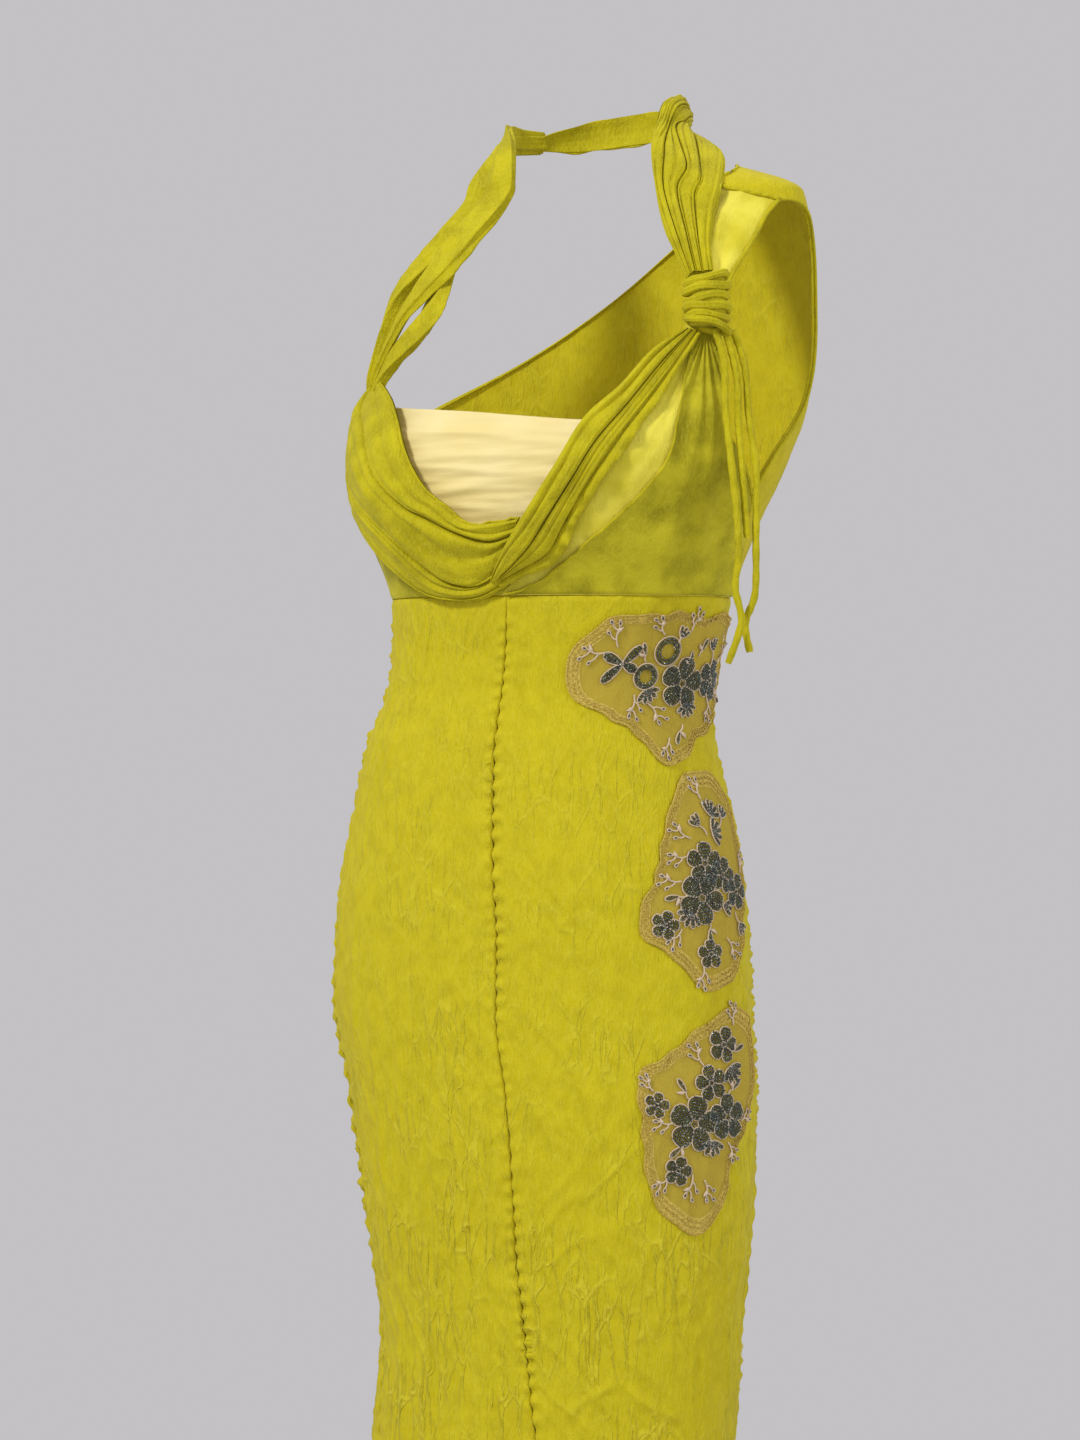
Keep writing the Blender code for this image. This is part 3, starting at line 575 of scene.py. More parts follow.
# Main creases of each panel, in mm from the middle front and down from the seam under the bust:
# start across and down, end across and down, width, height, bow.
SKIRT_CREASES = (
    # drag lines from the bust seam to the right hip
    (-132, 8, -176, 165, 4.0, 1.3, -9), (-112, 6, -158, 150, 3.6, 1.1, -8),
    (-92, 10, -132, 118, 3.4, 0.9, -6), (-60, 8, -74, 80, 4.0, 0.6, -3),
    (-186, 120, -205, 330, 5.0, 1.2, 6), (-166, 190, -172, 400, 4.0, 0.8, 5),
    # long creases down the front right
    (-148, 330, -162, 560, 3.5, 1.0, 5), (-128, 300, -118, 470, 3.0, 0.8, -6),
    (-98, 410, -112, 640, 3.2, 1.0, 7), (-70, 380, -58, 520, 3.0, 0.7, -4),
    (-172, 560, -150, 860, 4.5, 1.4, 8), (-146, 600, -132, 880, 4.0, 1.3, -6),
    (-122, 560, -128, 800, 3.5, 1.1, 5), (-104, 640, -86, 870, 4.0, 1.2, -7),
    (-78, 560, -84, 760, 3.2, 0.9, 4), (-60, 660, -52, 880, 3.5, 1.1, 5),
    (-38, 600, -44, 800, 3.0, 0.9, -5), (-30, 455, -62, 540, 3.0, 0.9, 8),
    (-44, 500, -90, 545, 2.6, 0.8, 6),
    # slanting creases on the front left
    (8, 160, 58, 152, 3.0, 0.7, 3), (30, 120, 92, 190, 3.5, 0.8, 6),
    (18, 205, 96, 285, 3.2, 0.8, -8), (26, 330, 100, 430, 3.4, 0.9, -9),
    (60, 360, 104, 520, 3.4, 1.0, -8), (70, 300, 150, 470, 4.0, 0.9, 10),
    (22, 420, 40, 560, 3.0, 0.8, 5), (40, 585, 78, 660, 3.0, 0.9, -6),
    (34, 660, 98, 628, 3.6, 1.0, -6), (98, 628, 150, 660, 3.4, 1.0, 6),
    (60, 655, 128, 700, 3.2, 0.9, 9), (52, 790, 168, 700, 4.2, 1.4, 10),
    (44, 850, 150, 780, 3.8, 1.2, -8), (72, 872, 190, 812, 3.6, 1.1, 7),
    (160, 640, 176, 860, 5.0, 1.2, -6), (12, 700, 36, 860, 3.4, 1.0, 4),
    # the hidden sides and the back
    (198, 60, 214, 280, 4.5, 1.1, 5), (232, 150, 222, 420, 4.5, 1.0, -6),
    (250, 90, 300, 210, 4.0, 0.9, 8), (268, 420, 262, 700, 4.5, 1.2, 6),
    (290, 330, 330, 520, 4.0, 1.0, -8), (318, 560, 300, 860, 4.5, 1.3, 8),
    (346, 60, 392, 170, 4.0, 0.9, -7), (352, 380, 366, 640, 4.0, 1.1, 6),
    (384, 250, 420, 430, 4.0, 0.9, 9), (402, 560, 388, 830, 4.5, 1.3, -7),
    (430, 40, 446, 260, 4.2, 1.0, 5), (446, 420, 470, 690, 4.2, 1.2, -6),
    (476, 150, 460, 400, 4.0, 0.9, 6), (498, 600, 488, 870, 4.5, 1.4, 6),
    (520, 80, 508, 300, 4.0, 1.0, -5), (530, 430, 540, 760, 4.4, 1.2, 7),
)
# Panels of the skirt: name, first and last seam, columns and rows of its grid, cut size.
SKIRT_PANELS = (
    ("skirt_front_right", RIGHT_SEAM, FRONT_SEAM, 108, 440, (0.205, 0.91)),
    ("skirt_front_left", FRONT_SEAM, LEFT_SEAM, 120, 400, (0.262, 0.91)),
    ("skirt_back", LEFT_SEAM, RIGHT_SEAM + 360, 160, 300, (0.48, 0.91)),
)
SKIRT_ROW_EASE = 1.12  # above 1, rows of the grid lie closer together at the hem
HEM_THREADS = ((0.0012, 0.0012), (0.0068, 0.00035))  # height above the edge, radius


def puckers(across, up):
    """The ripples that the tight stitching of each skirt seam draws up beside it, in metres."""
    height = np.zeros(np.shape(across))
    for angle, first, second, spacing, phase in SKIRT_SEAMS:
        for turn in (0, 360):
            off = across - math.radians(angle + turn) * GIRTH_RADIUS
            left = off > 0
            along_seam = (SEAM_LEVEL - up) * 1000 / spacing * 2 * math.pi
            uneven = 2.4 * np.sin(up / 0.041 + phase) + 1.1 * np.sin(up / 0.0173 + 2 * phase)
            beat = np.sin(along_seam + uneven + np.where(left, 1.9, 0.0))
            strength = 0.75 + 0.35 * np.sin(up / 0.063 + 3 * phase + left)
            high = np.where(left, second, first) / 1000
            near = np.exp(-((np.abs(off) - 0.002) ** 2) / PUCKER_REACH**2)
            drag = 0.22 * np.exp(-np.abs(off) / 0.020) * np.sin(along_seam / 2.3 + uneven)
            height += high * strength * (near * beat + drag)
            height -= SEAM_GROOVE * np.exp(-((off / 0.0018) ** 2))
    return height * smooth((SEAM_LEVEL - up) / 0.03)


def seam_dip(level, width=0.0025):
    """How the cloth sinks into the seam under the bust, in metres."""
    return -0.0012 * np.exp(-(((level - SEAM_LEVEL) / width) ** 2))


def skirt_point(angle, level, lift):
    """Points of the skirt's cloth. The angle is the one before the skirt turns."""
    across = np.radians(angle) * GIRTH_RADIUS
    crushed = 0.9 + 0.9 * smooth((-0.60 - level) / 0.30)
    relief = crushed * (crumple(across, level, 1) + crease_lines(across, level, SKIRT_CREASES))
    relief += puckers(across, level) + seam_dip(level, 0.0022)
    return on_figure(angle + eased(TWIST, 1, level), level, relief + lift)


def turned_in(share, columns):
    """Moves a grid's edge columns onto its edges, so that they can turn in as a seam allowance."""
    edge = 1 / columns
    inside = np.clip((share - edge) / (1 - 2 * edge), 0, 1)
    turned = (share < edge / 2) | (share > 1 - edge / 2)
    return inside, turned


def make_skirt_panel(name, first_seam, last_seam, columns, rows, cut):
    """A panel of the skirt, which turns in along both seams."""
    wall = bpy.context.scene.dress_sizes.cloth_wall
    first, last = first_seam + SEAM_TRIM, last_seam - SEAM_TRIM

    def place(u, v):
        inside, turned = turned_in(u, columns)
        level = SEAM_LEVEL + (HEM_LEVEL - SEAM_LEVEL) * (1 - v) ** SKIRT_ROW_EASE
        angle = first + (last - first) * inside
        return skirt_point(angle, level, np.where(turned, -SEAM_ALLOWANCE, 0.0))

    mesh = grid_mesh(name + "_cloth", columns, rows, place, cut)
    panel = add_piece(name + "_cloth", mesh, finish("georgette"), (name,), wall)


def make_hem():
    """The narrow rolled hem, a thin roll of cloth sewn all round the edge."""
    angles = np.linspace(0, 360, 361)
    paths = []
    for height, radius in HEM_THREADS:
        points = skirt_point(angles, np.full(len(angles), HEM_LEVEL + height), 0.0002)
        paths.append((points, radius))
    add_piece("hem_roll", thread_mesh("hem_roll", paths), finish("georgette"))


# Bodice --------------------------------------------------------------------------------------
# The edges of each panel, from its foot up: first angle and level, last angle and level.
FRONT_LEFT_EDGES = (
    (-3.0, -0.3612, 96.9, -0.3615), (2.0, -0.352, 91.0, -0.325), (14.0, -0.333, 83.0, -0.285),
    (28.0, -0.285, 73.0, -0.256), (38.0, -0.235, 64.0, -0.228), (46.0, -0.185, 61.0, -0.190),
    (53.0, -0.141, 60.0, -0.141),
)
DRAPE_EDGES = (  # a second layer, from its crisp folded edge to the armhole
    (0.5, -0.3600, 96.6, -0.3606), (18.0, -0.346, 91.0, -0.325), (39.0, -0.305, 83.0, -0.286),
    (49.0, -0.262, 73.1, -0.257), (50.5, -0.223, 64.3, -0.229), (52.0, -0.185, 61.2, -0.190),
    (54.5, -0.150, 60.0, -0.148),
)
FRONT_RIGHT_EDGES = (
    (-79.8, -0.3615, 3.0, -0.3612), (-79.8, -0.335, -2.0, -0.352), (-79.8, -0.305, -24.0, -0.335),
    (-79.8, -0.275, -41.0, -0.310), (-79.8, -0.245, -52.0, -0.270), (-79.0, -0.215, -60.0, -0.215),
)
BACK_EDGES = (
    (97.1, -0.3615, 279.9, -0.3615), (91.5, -0.325, 279.9, -0.328), (84.0, -0.284, 279.9, -0.290),
    (84.0, -0.255, 278.0, -0.252), (91.0, -0.215, 262.0, -0.215), (99.0, -0.165, 235.0, -0.168),
    (103.0, -0.120, 205.0, -0.120), (101.0, -0.080, 168.0, -0.074), (95.0, -0.056, 128.0, -0.036),
    (87.0, -0.0445, 96.0, -0.012), (81.7, -0.0436, 66.3, -0.0271),
)
YOKE_EDGES = (
    (53.0, -0.1300, 60.5, -0.1300), (52.0, -0.105, 64.0, -0.106), (52.0, -0.080, 69.0, -0.084),
    (55.0, -0.055, 75.0, -0.061), (66.0, -0.0275, 81.4, -0.0440),
)
# The cloth is gathered to one point under the knot. A row: the way a fold runs from there in
# degrees (0 down, below 0 to the middle), how that bends by 0.1 m, its width in degrees, its height
# and its reach in mm.
GATHER_ANGLE, GATHER_LEVEL = 56.5, -0.150
GATHER_RADIUS = 0.165
GATHERS = (
    (-40, 8, 3.4, 2.6, 120), (-30, 2, 3.6, 3.2, 170), (-20, -3, 3.0, 3.6, 100),
    (-12, -5, 3.4, 4.2, 130), (-3, 3, 3.2, 3.6, 200), (4, 5, 3.0, 4.4, 150), (12, 7, 3.2, 3.6, 220),
    (20, 9, 3.0, 3.8, 130), (29, 10, 4.0, 2.4, 120),
)


def gathers(angle, level):
    """Folds that fan out from the point where the knot gathers the cloth, in metres."""
    across = np.radians(angle - GATHER_ANGLE) * GATHER_RADIUS
    down = GATHER_LEVEL - level
    away = np.hypot(across, down)
    heading = np.degrees(np.arctan2(across, np.maximum(down, 1e-5)))
    height = np.zeros(np.shape(away))
    for way, bend, wide, high, reach in GATHERS:
        off = (heading - way - bend * away / 0.1) / wide
        fade = (0.45 + 0.65 * np.exp(-away / 0.07)) * (1 - smooth((away - reach / 1000) / 0.05))
        height += high / 1000 * fade * np.exp(-(off**2))
    return height * smooth(away / 0.02)


BODICE_ALLOWANCE = 0.003  # how deep the edge of a panel turns in


def bodice_mesh(name, edges, columns, rows, relief, cut):
    """A panel between its two edges, with its edge columns turned in."""

    def place(u, v):
        inside, turned = turned_in(u, columns)
        first_angle, first_level, last_angle, last_level = along(edges, v)
        angle = first_angle + (last_angle - first_angle) * inside
        level = first_level + (last_level - first_level) * inside
        lift = np.where(turned, -BODICE_ALLOWANCE, relief(angle, level, inside, v))
        return on_figure(angle, level, lift)

    return grid_mesh(name, columns, rows, place, cut)


def make_bodice():
    """Makes the panels. Each relief gives a panel's folds in metres, from an angle, a level, the
    share of the way from its first edge and the share of the way up."""
    wall = bpy.context.scene.dress_sizes.cloth_wall

    def plain(seed, amount):
        def relief(angle, level, inside, v):
            across = np.radians(angle) * GIRTH_RADIUS
            return amount * crumple(across, level, seed) + seam_dip(level)

        return relief

    def gathered(angle, level, inside, v):
        across = np.radians(angle) * GIRTH_RADIUS
        return gathers(angle, level) * 0.6 + 0.3 * crumple(across, level, 5) + seam_dip(level)

    def draped(angle, level, inside, v):
        across = np.radians(angle) * GIRTH_RADIUS
        crisp = 0.0022 * np.exp(-inside / 0.05) + 0.0012
        folds = gathers(angle, level) + 0.4 * crumple(across, level, 6)
        return crisp + folds + seam_dip(level) * 1.5

    def pulled(angle, level, inside, v):
        folds = 0.5 - 0.5 * np.cos(2 * math.pi * (2.6 * inside + 0.3 * np.sin(3 * v)))
        pull = 0.0050 * folds * (1 - 0.6 * v) * np.sin(math.pi * np.clip(inside, 0, 1))
        return pull + 0.3 * crumple(np.radians(angle) * GIRTH_RADIUS, level, 8)

    made = (
        ("bodice_left_cloth", FRONT_LEFT_EDGES, 90, 80, gathered, "window", "bodice_front_left",
         (0.26, 0.23), 0.0285),
        ("bodice_drape", DRAPE_EDGES, 90, 90, draped, "sheer", None, (0.26, 0.23), 0.0225),
        ("bodice_right_cloth", FRONT_RIGHT_EDGES, 70, 60, plain(7, 0.5), "sheer",
         "bodice_front_right", (0.21, 0.15), 0.0165),
        ("bodice_back_cloth", BACK_EDGES, 130, 130, plain(9, 0.8), "georgette", "bodice_back",
         (0.50, 0.36), 0.126),
        ("yoke_cloth", YOKE_EDGES, 40, 60, pulled, "window", "yoke_left", (0.060, 0.125), 0.0060),
    )
    for name, edges, columns, rows, relief, kind, node, cut, area in made:
        mesh = bodice_mesh(name, edges, columns, rows, relief, cut)
        piece = add_piece(name, mesh, finish(kind), (node,) if node else (), wall)
    make_bodice_edges()


def edge_path(edges, column, share, lift, count=120):
    """Points along one edge of a bodice panel. column 0 is its first edge and 2 its last."""
    v = np.linspace(share[0], share[1], count)
    table = along(edges, v)
    return on_figure(table[column], table[column + 1], lift)


def make_bodice_edges():
    """The narrow bindings of the armhole and the top edge, and the crisp edge of the drape."""
    span = np.linspace(0, 1, 160)
    drape = edge_path(DRAPE_EDGES, 0, (0.0, 0.97), 0.0030, 160)
    drape[:, 2] += 0.0005 * np.sin(span * 70) + 0.0003 * np.sin(span * 131)
    shoulder_lift = 0.0018 + 0.0008 * np.sin(np.linspace(0, 40, 40))
    shoulder = on_figure(np.linspace(68.5, 81.5, 40), np.linspace(-0.0300, -0.0439, 40),
                         shoulder_lift)
    paths = [
        (drape, 0.0009),
        (edge_path(FRONT_LEFT_EDGES, 2, (0.36, 0.97), 0.0015), 0.0015),
        (edge_path(YOKE_EDGES, 2, (0.0, 1.0), 0.0014), 0.0017),
        (edge_path(BACK_EDGES, 0, (0.22, 1.0), 0.0010), 0.0012),
        (edge_path(BACK_EDGES, 2, (0.31, 1.0), 0.0010), 0.0013),
        (shoulder, 0.0016),
    ]
    add_piece("bodice_bindings", thread_mesh("bodice_bindings", paths, 8), finish("scarf"))


BANDEAU_SIDES = (-78.0, 62.0)  # its end angles, both under the bodice
BANDEAU_TOP = -0.2175  # the level of its top edge at the middle front
BANDEAU_SLOPE = -0.00022  # metres for each degree round
BANDEAU_FOOT = -0.360
BANDEAU_DEPTH = 0.0044  # how far it lies inside the figure's face
BANDEAU_CUT = (0.375, 0.145)
BANDEAU_WRINKLES = (  # level, width mm, height mm, slant, bow
    (-0.226, 3.0, 0.9, 0.02, 0.004), (-0.238, 4.5, 1.6, -0.03, 0.006),
    (-0.252, 4.0, 1.3, 0.03, -0.004), (-0.262, 3.5, 1.5, -0.02, 0.003),
    (-0.277, 5.0, 1.7, 0.02, 0.007), (-0.291, 4.0, 1.2, -0.04, 0.004),
    (-0.305, 4.5, 1.2, 0.03, -0.005),
)


def make_bandeau():
    """The plain band across the bust, with a wrinkle for each row of its table."""
    wall = bpy.context.scene.dress_sizes.cloth_wall

    def place(u, v):
        angle = BANDEAU_SIDES[0] + (BANDEAU_SIDES[1] - BANDEAU_SIDES[0]) * u
        level = BANDEAU_FOOT + (BANDEAU_TOP + BANDEAU_SLOPE * angle - BANDEAU_FOOT) * v
        across = np.radians(angle) * GIRTH_RADIUS
        relief = np.zeros(np.shape(u))
        fade = np.clip(0.5 + 0.7 * lumps(across, level, 0.05, 0.2, 31), 0, 1)
        for at, wide, high, slant, bow in BANDEAU_WRINKLES:
            middle = at + slant * across + bow * np.sin(across / 0.05 + at * 200)
            off = (level - middle) * 1000 / wide
            relief += 1.5 * high / 1000 * fade * np.exp(-(off**2))
        relief += 0.0008 * lumps(across, level, 0.035, 0.0045, 33)
        edge = 0.0006 * np.exp(-(((v - 1) / 0.03) ** 2))
        return on_figure(angle, level, relief + edge - BANDEAU_DEPTH)

    mesh = grid_mesh("bandeau_silk", 170, 100, place, BANDEAU_CUT)
    band = add_piece("bandeau_silk", mesh, finish("cream"), ("bandeau",), wall)


# Scarf ---------------------------------------------------------------------------------------
# The scarf is drawn as bands of soft folds. A fold lies between two lines. A line's row is an
# angle, a level and how far it stands off the figure in mm. The rises say how high each fold
# stands over its lines at each row, in mm.
COWL_LINES = (
    ((-58, -0.190, 10), (-50, -0.204, 9), (-43.5, -0.220, 8), (-35, -0.249, 7), (-28, -0.274, 6),
     (-20, -0.289, 5), (-11, -0.303, 5), (0, -0.302, 5), (9, -0.299, 5)),
    ((-64, -0.190, 9), (-65, -0.210, 13), (-55, -0.231, 11), (-45, -0.262, 8), (-35, -0.286, 5),
     (-27, -0.297, 3), (-17, -0.309, 3), (-4, -0.317, 3), (6, -0.313, 3)),
    ((-69, -0.1905, 8), (-74, -0.232, 13), (-67, -0.268, 12), (-54, -0.288, 9), (-42, -0.312, 6),
     (-30, -0.340, 3), (-18, -0.351, 3), (-8, -0.349, 3), (4, -0.335, 3)),
    ((-72, -0.1925, 7), (-81, -0.238, 10), (-76, -0.280, 8), (-62, -0.304, 5), (-51, -0.332, 3),
     (-40, -0.356, 1), (-26, -0.3635, 1), (-12, -0.363, 1), (1, -0.352, 1)),
)
COWL_RISES = (
    (4, 6, 9, 12, 12, 11, 9, 7, 4), (4, 8, 11, 12, 12, 11, 10, 7, 4),
    (3, 6, 8, 9, 9, 9, 8, 6, 3),
)
ROLL_LINES = (
    ((-5, -0.3465, 6), (0.5, -0.329, 8), (7, -0.311, 9), (13, -0.289, 9), (19.5, -0.260, 9),
     (26, -0.228, 9), (34, -0.204, 9), (43, -0.171, 9), (51.5, -0.1535, 8)),
    ((-3, -0.3475, 6), (5, -0.335, 8), (14, -0.318, 9), (20, -0.297, 9), (25, -0.270, 8),
     (30, -0.243, 8), (37, -0.216, 8), (45, -0.183, 8), (53, -0.1545, 8)),
    ((-2, -0.349, 4), (9, -0.338, 4), (20, -0.325, 4), (25, -0.304, 4), (28.5, -0.280, 4),
     (33, -0.252, 4), (39, -0.224, 4), (47, -0.190, 5), (54.5, -0.1555, 6)),
)
ROLL_RISES = ((3, 7, 9, 11, 12, 11, 10, 8, 4), (2, 5, 6, 7, 7, 7, 6, 5, 3))
FLAP_HEM = (
    (0, -0.352, 2), (12, -0.342, 2), (24, -0.330, 2.5), (28, -0.309, 2.5), (31, -0.286, 3),
    (36, -0.256, 3), (41.5, -0.228, 3), (48, -0.195, 4), (55, -0.157, 5),
)
COLLAR_LINES = (
    ((252, 0.0195, 8), (215, 0.034, 7), (180, 0.042, 7), (150, 0.044, 8), (118, 0.046, 8),
     (94, 0.048, 8), (76, 0.042, 8), (70, 0.030, 8), (62, 0.006, 8), (53.0, -0.0255, 7),
     (47.5, -0.073, 7), (52, -0.114, 6)),
    ((252, 0.0165, 9), (215, 0.027, 10), (180, 0.034, 10), (150, 0.036, 10), (117, 0.039, 11),
     (96, 0.041, 11), (81, 0.035, 11), (72, 0.018, 11), (62, -0.008, 11), (55, -0.037, 10),
     (50.5, -0.081, 9), (53, -0.111, 8)),
    ((252, 0.0135, 10), (215, 0.020, 11), (180, 0.026, 11), (150, 0.028, 11), (118, 0.031, 12),
     (101, 0.031, 12), (88, 0.024, 12), (77, 0.007, 12), (64.5, -0.021, 12), (58, -0.043, 11),
     (53.2, -0.079, 10), (54.2, -0.110, 8)),
    ((252, 0.0105, 9), (215, 0.013, 10), (180, 0.018, 10), (150, 0.020, 10), (119, 0.023, 11),
     (104, 0.022, 11), (92, 0.014, 11), (80, -0.003, 11), (66.5, -0.028, 10), (60.5, -0.051, 10),
     (56.0, -0.082, 8), (56.2, -0.109, 7)),
    ((252, 0.0075, 7), (215, 0.006, 6), (180, 0.010, 6), (150, 0.012, 6), (120, 0.015, 6),
     (106, 0.013, 6), (94, 0.005, 6), (83, -0.011, 6), (70, -0.034, 5), (64, -0.057, 5),
     (59.0, -0.083, 5), (58.5, -0.108, 5)),
)
COLLAR_RISES = (
    (1, 4, 4, 4, 4, 5, 6, 7, 7, 7, 6, 3), (1, 4, 5, 4, 4, 5, 6, 6, 7, 6, 5, 3),
    (1, 5, 4, 5, 4, 5, 6, 7, 6, 6, 5, 3), (1, 4, 4, 4, 3, 4, 5, 6, 6, 6, 4, 3),
)
FOLD_UNDERCUT = 0.11  # how far a fold leans over its own foot, as a share of its width
UNDERSIDE = 0.22  # the share of a band's section that is its flat back
FLAP_CUT = (0.20, 0.013)


def band_point(lines, rises, u, v, seed):
    """Points of a band: u runs along it and v round its section, first over its folds."""
    folds = len(lines) - 1
    top = v < 1 - UNDERSIDE
    over = np.where(top, v / (1 - UNDERSIDE), (1 - v) / UNDERSIDE) * folds
    k = np.clip(over.astype(int), 0, folds - 1)
    f = over - k
    lean = np.where(top, FOLD_UNDERCUT * np.sin(2 * math.pi * f), 0)
    g = f - lean
    at, out = (np.stack(part) for part in zip(*(course(line, u) for line in lines)))
    high = np.stack([along([(rise,) for rise in rise_row], u)[0] for rise_row in rises])
    each = np.arange(len(u))
    g = g[:, None]
    middle = at[k, each] * (1 - g) + at[k + 1, each] * g
    outward = unit(out[k, each] * (1 - g) + out[k + 1, each] * g)
    bulge = high[k, each] * np.maximum(0, 1 - np.abs(2 * f - 1) ** 3) ** (1 / 1.7)
    # Fine pleats and crisp wandering valleys, in mm, over about 30 mm of cloth for each row.
    long = u * len(lines[0]) * 0.03
    pleats = 0.55 * lumps(over * 3.1, long * 9, 1, 1, seed)
    pleats += 0.45 * lumps(over * 7.3, long * 13, 1, 1, seed + 1)
    fine = 450 * crumple(over * 0.018, long, seed + 2)
    wander = over * 2.2 + 0.55 * lumps(over * 0.8, long * 11, 1, 1, seed + 3)
    valley = (1 - np.abs(np.sin(math.pi * wander))) ** 3
    near = np.minimum(1, bulge / 3)
    detail = (1.3 * pleats + fine - 2.4 * valley) * near
    rise = np.where(top, bulge * (1 + 0.30 * pleats) + detail, -1.2)
    return middle + outward * rise[:, None] / 1000


def make_band(name, lines, rises, columns, rows, seed, cut, nodes):
    """A stretch of the scarf, in folds that lie over each other."""

    def place(u, v):
        return band_point(lines, rises, u, v, seed)

    mesh = grid_mesh(name, columns, rows, place, cut, closed=True)
    piece = add_piece(name, mesh, finish("scarf"), nodes)


# A strand of the strap: name, cut size, how often it turns, its pleats, how far they swell it,
# and its rows: angle, level, lift, half width and half depth, the last three in mm.
STRANDS = (
    ("strap_outer", (0.028, 0.27), 0.9, 4, 0.34, (
        (-122, 0.011, 10, 7, 5), (-100, 0.009, 10, 8, 5), (-83, 0.006, 10, 8.5, 5),
        (-66, -0.002, 11, 8, 5), (-59, -0.024, 12, 9, 5.5), (-54, -0.049, 12, 10, 6),
        (-51, -0.074, 12, 12.5, 6), (-55.5, -0.098, 12, 10.5, 6), (-61, -0.118, 12, 7.2, 6),
        (-64, -0.141, 12, 6.2, 5.5), (-66, -0.167, 12, 4.6, 4.5), (-66.6, -0.187, 12, 3.4, 3.5),
        (-66.8, -0.200, 8, 3, 3),
    )),
    ("strap_leaf", (0.034, 0.27), 0.5, 5, 0.30, (
        (-122, 0.020, 11, 8, 4), (-100, 0.019, 12, 10, 4), (-80, 0.017, 13, 11.5, 4),
        (-60, 0.007, 14, 10.5, 4.5), (-50, -0.016, 15, 13, 5), (-46, -0.045, 15, 15, 5),
        (-42.5, -0.080, 15, 16, 5), (-45, -0.101, 15, 14.5, 4.5), (-49, -0.118, 15, 9.5, 4.5),
        (-54, -0.136, 15, 5.6, 4), (-57, -0.155, 15, 4, 3.5), (-60.6, -0.175, 14, 3.2, 3.2),
        (-62.4, -0.188, 13, 3.0, 3), (-63.2, -0.200, 9, 3, 3),
    )),
    ("strap_under", (0.030, 0.10), 0.6, 4, 0.30, (
        (-44, -0.090, 10, 4, 3), (-43.5, -0.118, 9, 8, 4), (-45.2, -0.136, 9.5, 11.5, 4.5),
        (-49.3, -0.153, 10, 10.7, 4.5), (-55, -0.168, 10, 8.5, 4.5), (-59.5, -0.183, 10, 8, 4.5),
        (-62, -0.196, 10, 7, 4),
    )),
)


def strand_mesh(name, rows, turns, flutes, swell, seed):
    """A loose bundle of cloth with pleats along it, closed at both ends."""

    def place(u, v):
        half_width, half_depth = along(rows, v)[3:] / 1000
        centre, out = course(rows, v)
        ahead = unit(course(rows, v + 0.01)[0] - course(rows, v - 0.01)[0])
        across = unit(np.cross(ahead, out))
        out = unit(np.cross(across, ahead))
        turn = 2 * math.pi * u
        wander = 0.8 * np.sin(5 * v + seed) + 0.4 * np.sin(13 * v + 2 * seed)
        ridge = 1 - np.abs(np.sin((flutes * turn + 2 * math.pi * turns * v + wander) / 2))
        round_x, round_y = 2 * np.cos(turn), 2 * np.sin(turn)
        fine = lumps(round_x * 2.2 + seed, round_y * 2.2 + 6 * v, 1, 1, seed)
        closed_end = np.sqrt(np.clip(np.minimum(v, 1 - v) / 0.012, 0, 1))
        swollen = (1 - swell / 2 + swell * 1.3 * ridge**1.5 + 0.09 * fine) * closed_end
        spoke = across * (half_width * np.cos(turn) * swollen)[..., None]
        return centre + spoke + out * (half_depth * np.sin(turn) * swollen)[..., None]

    return grid_mesh(name, 48, 150, place, (0.10, 0.25), closed=True)


def make_strands():
    """The strands of the strap. The outer one stands for the strap's solid."""
    for seed, (name, cut, turns, flutes, swell, rows) in enumerate(STRANDS):
        mesh = strand_mesh(name, rows, turns, flutes, swell, 40 + seed)
        nodes = ("strap_right",) if name == "strap_outer" else ()
        piece = add_piece(name, mesh, finish("scarf"), nodes)


def line_thread(line, lift, radius, wobble, count=150):
    """A rolled hem along a line of the scarf, with a small uneven ripple."""
    t = np.linspace(0.0, 1.0, count)
    points, out = course(line, t)
    ripple = wobble * (np.sin(t * 61) + 0.6 * np.sin(t * 113 + 1))
    return points + out * (lift + ripple)[:, None] + np.outer(ripple, (0, 0, 1)), radius


